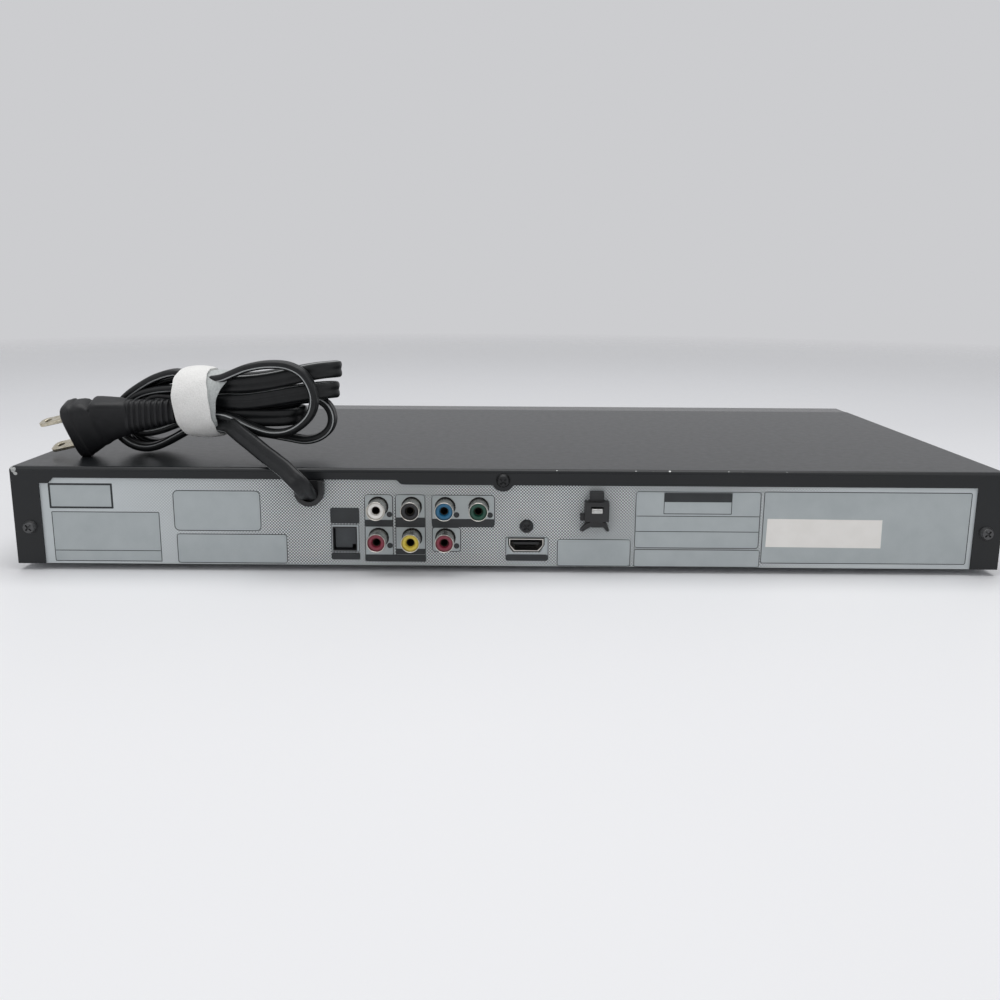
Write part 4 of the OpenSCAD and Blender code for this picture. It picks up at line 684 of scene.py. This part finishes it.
bm = bmesh.new()
for (x0, x1, z0, z1, r), line, _ in frames:
    inner = corners(x0 + line, x1 - line, z0 + line, z1 - line, max(r - line, 0.1))
    printed_layer(bm, [corners(x0, x1, z0, z1, r), inner], frame_lift)
rules = [(152.2, 198.4, 5.75, 6.05, 0.1), (-109.5, -55.7, 22.9, 23.2, 0.1), (-109.5, -55.7, 16, 16.3, 0.1)]
for rule in rules:
    printed_layer(bm, [corners(*rule)], frame_lift)
printed_layer(bm, [corners(-97.3, -67.7, 24, 33.6, 0.3), corners(-97, -68, 24.3, 33.3, 0.2)], frame_lift)
bars = [(64.6, 77.3, 18.8, 25.9, 0.7), (64.6, 77.3, 2.5, 5.7, 0.6), (50.2, 62.1, 17.5, 20.6, 0.2),
        (36.1, 48.7, 17.3, 21.7, 0.2), (36.1, 48.7, 5.0, 7.6, 0.2), (35.7, 62.5, 1.7, 4.9, 0.9),
        (5.9, 32.9, 17.5, 21.2, 0.2), (-17.6, 0.6, 2.45, 5.4, 0.8), (-97, -68, 29.4, 33.3, 0.2)]
for bar in bars:
    printed_layer(bm, [corners(*bar)], bar_lift)
for at in (white_at, red_at, blue_at, green_at, low_red_at):
    printed_layer(bm, [circle_outline(at[0] - 4.9, at[1] - 0.5, 1.25)], bar_lift)
dark_ink = plain("dark_ink", (0.017, 0.0195, 0.0215), (0.025, 0.0285, 0.031), 0.5, scale=200)
ink = finished(bm, "printed_frames", "case", dark_ink, smooth=False)

# A blank white paper sticker, stuck on a little out of square.
bm = bmesh.new()
sticker_outline = [(-163.2, 12.2), (-112.8, 12.5), (-113, 25.2), (-163, 24.9)]
printed_layer(bm, [sticker_outline], sticker_lift, thickness=0.09)
sticker_paper = plain("sticker_paper", (0.88, 0.855, 0.81), (0.93, 0.905, 0.865), 0.55, scale=120)
sticker = finished(bm, "blank_sticker", "case", sticker_paper, smooth=False)

# ---------------------------------------------------------------- round jacks
# Seven nickel-plated shells with rolled lips stand out of the panel's holes, each round a coloured
# moulded insert. A sprung contact sleeve sits deep in the bore of each insert.


def turned(bm, profile, at, segments=48):
    """A body turned about an axis along Y; the profile is (radius, y) in mm, from axis to axis or
    right round a ring, and at is the axis's place on the panel."""
    line = [bm.verts.new(at_mm(at[0] + r, y, at[1] + FEET_HIGH)) for r, y in profile]
    edges = [bm.edges.new(pair) for pair in zip(line, line[1:])]
    if profile[0][0] > 0:
        edges.append(bm.edges.new((line[-1], line[0])))
    bmesh.ops.spin(bm, geom=line + edges, cent=at_mm(at[0], 0, at[1] + FEET_HIGH), axis=(0, 1, 0),
                   steps=segments, angle=2 * math.pi, use_merge=True)
    bmesh.ops.remove_doubles(bm, verts=bm.verts, dist=1e-6)


jacks = (white_at, black_at, blue_at, green_at, red_at, yellow_at, low_red_at)
shell_line = [(3.55, 94), (3.55, 107.5), (3.63, 107.9), (3.82, 108.13), (4.02, 108.08), (4.15, 107.85),
              (4.15, 107.2), (4.04, 106.95), (4.0, 106.7), (4.0, 94)]
bm = bmesh.new()
for at in jacks:
    turned(bm, shell_line, at)
nickel = plain("nickel", (0.60, 0.58, 0.54), (0.74, 0.72, 0.67), 0.2, metal=1.0, scale=700, relief=0.00002)
shells = finished(bm, "jack_shell_set", "case", nickel, angle=40)
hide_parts("jack_shells")

insert_line = [(0, 94), (3.5, 94), (3.5, 107.2), (3.36, 107.42), (2.5, 107.45), (2.2, 107.3), (1.8, 106.5),
               (1.75, 106.2), (1.75, 96.5), (0, 96.5)]
for colour, dark, light, places in (
        ("white", (0.80, 0.785, 0.74), (0.90, 0.885, 0.84), [white_at]),
        ("black", (0.012, 0.012, 0.013), (0.02, 0.02, 0.021), [black_at]),
        ("red", (0.19, 0.022, 0.040), (0.27, 0.036, 0.060), [red_at, low_red_at]),
        ("yellow", (0.62, 0.47, 0.05), (0.74, 0.58, 0.09), [yellow_at]),
        ("blue", (0.012, 0.105, 0.21), (0.022, 0.155, 0.29), [blue_at]),
        ("green", (0.006, 0.055, 0.035), (0.012, 0.085, 0.052), [green_at])):
    bm = bmesh.new()
    for at in places:
        turned(bm, insert_line, at)
    moulding = plain("insert_" + colour, dark, light, 0.32, scale=400)
    insert = finished(bm, "jack_insert_" + colour, "case", moulding, angle=30)
    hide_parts("insert_" + colour)

contact_line = [(0, 96.6), (1.7, 96.6), (1.7, 105.9), (1.5, 105.9), (1.5, 97.1), (0, 97.1)]
bm = bmesh.new()
for at in jacks:
    turned(bm, contact_line, at, segments=24)
dark_bronze = plain("dark_bronze", (0.03, 0.024, 0.018), (0.06, 0.05, 0.036), 0.5, metal=0.8)
contacts = finished(bm, "jack_contacts", "case", dark_bronze)

# ---------------------------------------------------------------- clip's tongue
# The end of the tongue lanced out of the rear panel, bent down over the clip to hold it.

tongue_left, tongue_wide, tongue_thick = -40.7, 4.6, 0.5
tongue_line = [(99.0, 30.4), (101.6, 30.4), (102.8, 30.5), (103.6, 30.1), (103.9, 29.3),
               (103.8, 28.5), (103.3, 27.8), (102.6, 27.4)]
bm = bmesh.new()
strip = [bm.verts.new(at_mm(tongue_left, y, z)) for y, z in tongue_line]
strip_edges = [bm.edges.new(pair) for pair in zip(strip, strip[1:])]
grown = bmesh.ops.extrude_edge_only(bm, edges=strip_edges)["geom"]
far_side = [item for item in grown if isinstance(item, bmesh.types.BMVert)]
bmesh.ops.translate(bm, verts=far_side, vec=(tongue_wide * MM, 0, 0))
bmesh.ops.recalc_face_normals(bm, faces=bm.faces)
bmesh.ops.solidify(bm, geom=bm.faces[:], thickness=tongue_thick * MM)
bright_steel = plain("bright_steel", (0.44, 0.44, 0.43), (0.62, 0.62, 0.60), 0.3, metal=1.0, scale=900)
tongue = finished(bm, "clip_tongue", "case", bright_steel)
round_edges(tongue, 0.12)

# ---------------------------------------------------------------- bezel, window and buttons
# Semi-gloss moulded bezel and tray door, a smoked acrylic window, and four satin silver caps with
# a generic sign printed on each: eject, play, stop and stand-by.

bezel_plastic = plain("bezel_plastic", (0.019, 0.0195, 0.0208), (0.023, 0.0235, 0.0248), 0.24, scale=140,
                      relief=0.000006)
door_plastic = plain("door_plastic", (0.020, 0.0205, 0.0218), (0.024, 0.0245, 0.0258), 0.24, scale=140,
                     relief=0.000006)
dress("front_bezel", bezel_plastic, edge=0.3)
dress("tray_door", door_plastic, edge=0.3)

cap_face = -108.15
sign_ink = plain("sign_ink", (0.03, 0.03, 0.032), (0.045, 0.045, 0.047), 0.5)
ring_outer, ring_inner = circle_outline(190, 29.7, 2.6, 40), circle_outline(190, 29.7, 2.1, 40)
signs = {
    "eject": [[[(110.2, 29.6), (113.8, 29.6), (112, 31.8)]],
              [[(110.2, 28.4), (113.8, 28.4), (113.8, 29.1), (110.2, 29.1)]]],
    "play": [[[(132.8, 28.2), (135.6, 30), (132.8, 31.8)]]],
    "stop": [[[(154.5, 28.5), (157.5, 28.5), (157.5, 31.5), (154.5, 31.5)]]],
    "power": [[ring_outer, ring_inner], [[(189.75, 30.2), (190.25, 30.2), (190.25, 33), (189.75, 33)]]],
}
for button, shapes in signs.items():
    bm = bmesh.new()
    for outlines in shapes:
        plate(bm, outlines, 0.03, Matrix.Translation(at_mm(0, cap_face, 0)) @ on_panel)
    sign = finished(bm, button + "_sign", button + "_button", sign_ink, smooth=False)

smoked = plain("smoked_window", (0.0018, 0.002, 0.0026), (0.0026, 0.0028, 0.0034), 0.05, relief=0.0)
dress("display_window", smoked, edge=0.2)
cap_silver = plain("button_plastic", (0.44, 0.45, 0.46), (0.50, 0.51, 0.52), 0.3, metal=0.55, scale=900)
for button in signs:
    dress(button + "_button", cap_silver, edge=0.25)
foot_rubber = plain("foot_rubber", (0.018, 0.018, 0.018), (0.028, 0.028, 0.028), 0.8, relief=0.00008)
dress("feet", foot_rubber, edge=0.4)

# ---------------------------------------------------------------- screws, sockets and bushing
# Blackened cross-head screws, the outer two a little paler, black moulded blocks behind the jacks, a
# nickel-plated video socket, the sprung door of the optical socket, the clip and the cord's bushing.

screw_steel, tree, shader = new_material("black_steel")
paler = between(tree, number(tree, "ABSOLUTE", coordinate(tree, own_place(tree), "X")), 0.19, 0.2)
worn = ramp(tree, grain(tree, 900), (0.012, 0.0125, 0.0135), (0.035, 0.036, 0.037))
feed(tree, shader, {"Base Color": mixed(tree, paler, worn, (0.085, 0.086, 0.088, 1)),
                    "Metallic": 0.55, "Roughness": 0.33})
dress("case_screws", screw_steel, edge=0.12)
dress("video_socket_shell", nickel, edge=0.1)
shutter_plastic = plain("shutter_plastic", (0.040, 0.047, 0.052), (0.048, 0.056, 0.062), 0.2)
dress("optical_shutter", shutter_plastic, edge=0.2)
moulded = plain("black_plastic", (0.010, 0.0104, 0.0112), (0.016, 0.0165, 0.0175), 0.42)
for node, edge in (("jack_blocks", 0.0), ("video_socket_tongue", 0.1), ("optical_socket", 0.12),
                   ("panel_clip", 0.2), ("cord_bushing", 0.35)):
    dress(node, moulded, edge)

# ---------------------------------------------------------------- boards inside
# Main and front boards in green solder mask over copper tracks, and a pale brown supply board, all
# wave-soldered. Lines and pads follow the board's own plane.


def board(name, mask, track, scale, tilt=(0, 0, 0)):
    """A printed board's finish: tracks run square to each other, with round tinned pads; scale is
    in blocks of tracks to the metre, and tilt turns the board's plane flat."""
    made, tree, shader = new_material(name)
    level = add_node(tree, "ShaderNodeMapping", {"Vector": own_place(tree), "Rotation": tilt})
    along, across = (coordinate(tree, level.outputs["Vector"], axis) for axis in "XY")
    flat = add_node(tree, "ShaderNodeCombineXYZ", {"X": along, "Y": across}).outputs["Vector"]
    blocks = add_node(tree, "ShaderNodeTexVoronoi", {"Vector": flat, "Scale": scale, "Randomness": 0.9},
                      voronoi_dimensions="2D", distance="MANHATTAN").outputs["Distance"]
    tracks = between(tree, number(tree, "SINE", number(tree, "MULTIPLY", blocks, 42)), 0.35, 0.6)
    dots = add_node(tree, "ShaderNodeTexVoronoi", {"Vector": flat, "Scale": scale * 3.2, "Randomness": 0.55},
                    voronoi_dimensions="2D").outputs["Distance"]
    pads = between(tree, dots, 0.2, 0.13)
    etched = mixed(tree, tracks, mask, track)
    feed(tree, shader, {"Base Color": mixed(tree, pads, etched, (0.62, 0.62, 0.60, 1)),
                        "Metallic": number(tree, "MULTIPLY", pads, 0.9), "Roughness": 0.32})
    bump(tree, shader, number(tree, "ADD", tracks, pads), 0.00006, 0.7)
    return made


green_mask, green_track = (0.006, 0.075, 0.028, 1), (0.012, 0.13, 0.05, 1)
dress("main_board", board("green_board", green_mask, green_track, 95))
dress("front_board", board("green_board_upright", green_mask, green_track, 110, tilt=(math.pi / 2, 0, 0)))
dress("supply_board", board("brown_board", (0.30, 0.17, 0.075, 1), (0.36, 0.21, 0.10, 1), 60))

# ---------------------------------------------------------------- parts on the boards
# Black moulded chips and push switches, sleeved capacitors with bare tops, a taped ferrite
# transformer, an extruded heat sink, the glass display tube and flat ribbon cables.

chip_black = plain("chip_black", (0.015, 0.015, 0.016), (0.024, 0.024, 0.025), 0.6, scale=1500)
dress("board_chips", chip_black, edge=0.1)
switch_black = plain("switch_black", (0.016, 0.016, 0.016), (0.024, 0.024, 0.025), 0.5)
dress("tact_switches", switch_black, edge=0.1)

sleeve_film, tree, shader = new_material("capacitor_sleeve")
normal = add_node(tree, "ShaderNodeNewGeometry").outputs["Normal"]
top = between(tree, coordinate(tree, normal, "Z"), 0.85, 0.9)
film = ramp(tree, grain(tree, 300), (0.012, 0.016, 0.06), (0.02, 0.026, 0.09))
feed(tree, shader, {"Base Color": mixed(tree, top, film, (0.62, 0.63, 0.64, 1)), "Metallic": top,
                    "Roughness": 0.3})
dress("capacitors", sleeve_film, edge=0.25)

wound, tree, shader = new_material("ferrite_and_tape")
height = coordinate(tree, own_place(tree), "Z")
band = number(tree, "MULTIPLY", between(tree, height, 0.0155, 0.016), between(tree, height, 0.0265, 0.026))
core = ramp(tree, grain(tree, 500), (0.045, 0.045, 0.047), (0.075, 0.075, 0.077))
feed(tree, shader, {"Base Color": mixed(tree, band, core, (0.62, 0.46, 0.06, 1)), "Roughness": 0.5})
dress("transformer", wound, edge=0.3)

aluminium = plain("aluminium", (0.60, 0.61, 0.62), (0.74, 0.75, 0.76), 0.36, metal=1.0, scale=800)
dress("heatsink", aluminium, edge=0.1)
display_glass = plain("display_glass", (0.012, 0.024, 0.024), (0.018, 0.034, 0.032), 0.05, relief=0.0)
dress("display_tube", display_glass, edge=0.2)

WIRE_PITCH = 0.00125
ribbon, tree, shader = new_material("cable_ribbon")
spread = number(tree, "MULTIPLY", coordinate(tree, own_place(tree), "X"), 2 * math.pi / WIRE_PITCH)
wires = between(tree, number(tree, "SINE", spread), -0.2, 0.5)
feed(tree, shader, {"Base Color": mixed(tree, wires, (0.42, 0.41, 0.38, 1), (0.74, 0.73, 0.69, 1)),
                    "Roughness": 0.42})
bump(tree, shader, wires, 0.0002, 0.8)
dress("inner_cables", ribbon)

# ---------------------------------------------------------------- loader
# Glass-filled black frame and clamper under a pressed bridge, a charcoal tray, acetal wheels and
# cam slide, a rubber belt, and the pickup on its rods in a pressed traverse on soft dampers.

loader_black = plain("loader_black", (0.014, 0.014, 0.015), (0.022, 0.022, 0.023), 0.5, relief=0.00005)
dress("loader_frame", loader_black, edge=0.15)
clamper_black = plain("clamper_black", (0.012, 0.012, 0.013), (0.018, 0.018, 0.019), 0.4)
dress("clamper", clamper_black, edge=0.2)
dress("clamp_bridge", plated_steel, edge=0.15)
tray_plastic = plain("tray_plastic", (0.026, 0.027, 0.029), (0.034, 0.035, 0.037), 0.42, relief=0.00005)
dress("tray", tray_plastic, edge=0.25)
acetal = plain("gear_acetal", (0.66, 0.64, 0.56), (0.74, 0.72, 0.64), 0.4, scale=200)
for node in ("motor_pulley", "pulley_gear", "drive_gear", "cam_slide"):
    dress(node, acetal, edge=0.08)
dress("drive_belt", plain("belt_rubber", (0.014, 0.014, 0.014), (0.02, 0.02, 0.02), 0.75))
dress("dampers", plain("damper_rubber", (0.05, 0.012, 0.012), (0.07, 0.018, 0.018), 0.7))
motor_steel = plain("motor_steel", (0.50, 0.50, 0.50), (0.64, 0.64, 0.64), 0.3, metal=1.0, scale=600)
for node in ("loading_motor", "spindle_motor", "sled_motor"):
    dress(node, motor_steel, edge=0.15)
traverse_steel = plain("traverse_steel", (0.50, 0.51, 0.52), (0.62, 0.63, 0.64), 0.34, metal=1.0, scale=600)
dress("traverse", traverse_steel, edge=0.1)
turntable_black = plain("turntable_black", (0.014, 0.014, 0.014), (0.02, 0.02, 0.02), 0.55)
dress("turntable", turntable_black, edge=0.15)
sled_zinc = plain("sled_zinc", (0.30, 0.30, 0.31), (0.40, 0.40, 0.41), 0.48, metal=0.9, scale=700)
dress("pickup", sled_zinc, edge=0.12)
dress("lens", plain("lens_glass", (0.10, 0.12, 0.30), (0.14, 0.17, 0.40), 0.04, coat=0.6, relief=0.0))
ground_steel = plain("ground_steel", (0.66, 0.66, 0.66), (0.78, 0.78, 0.78), 0.16, metal=1.0, scale=900)
for node in ("guide_rods", "leadscrew"):
    dress(node, ground_steel)
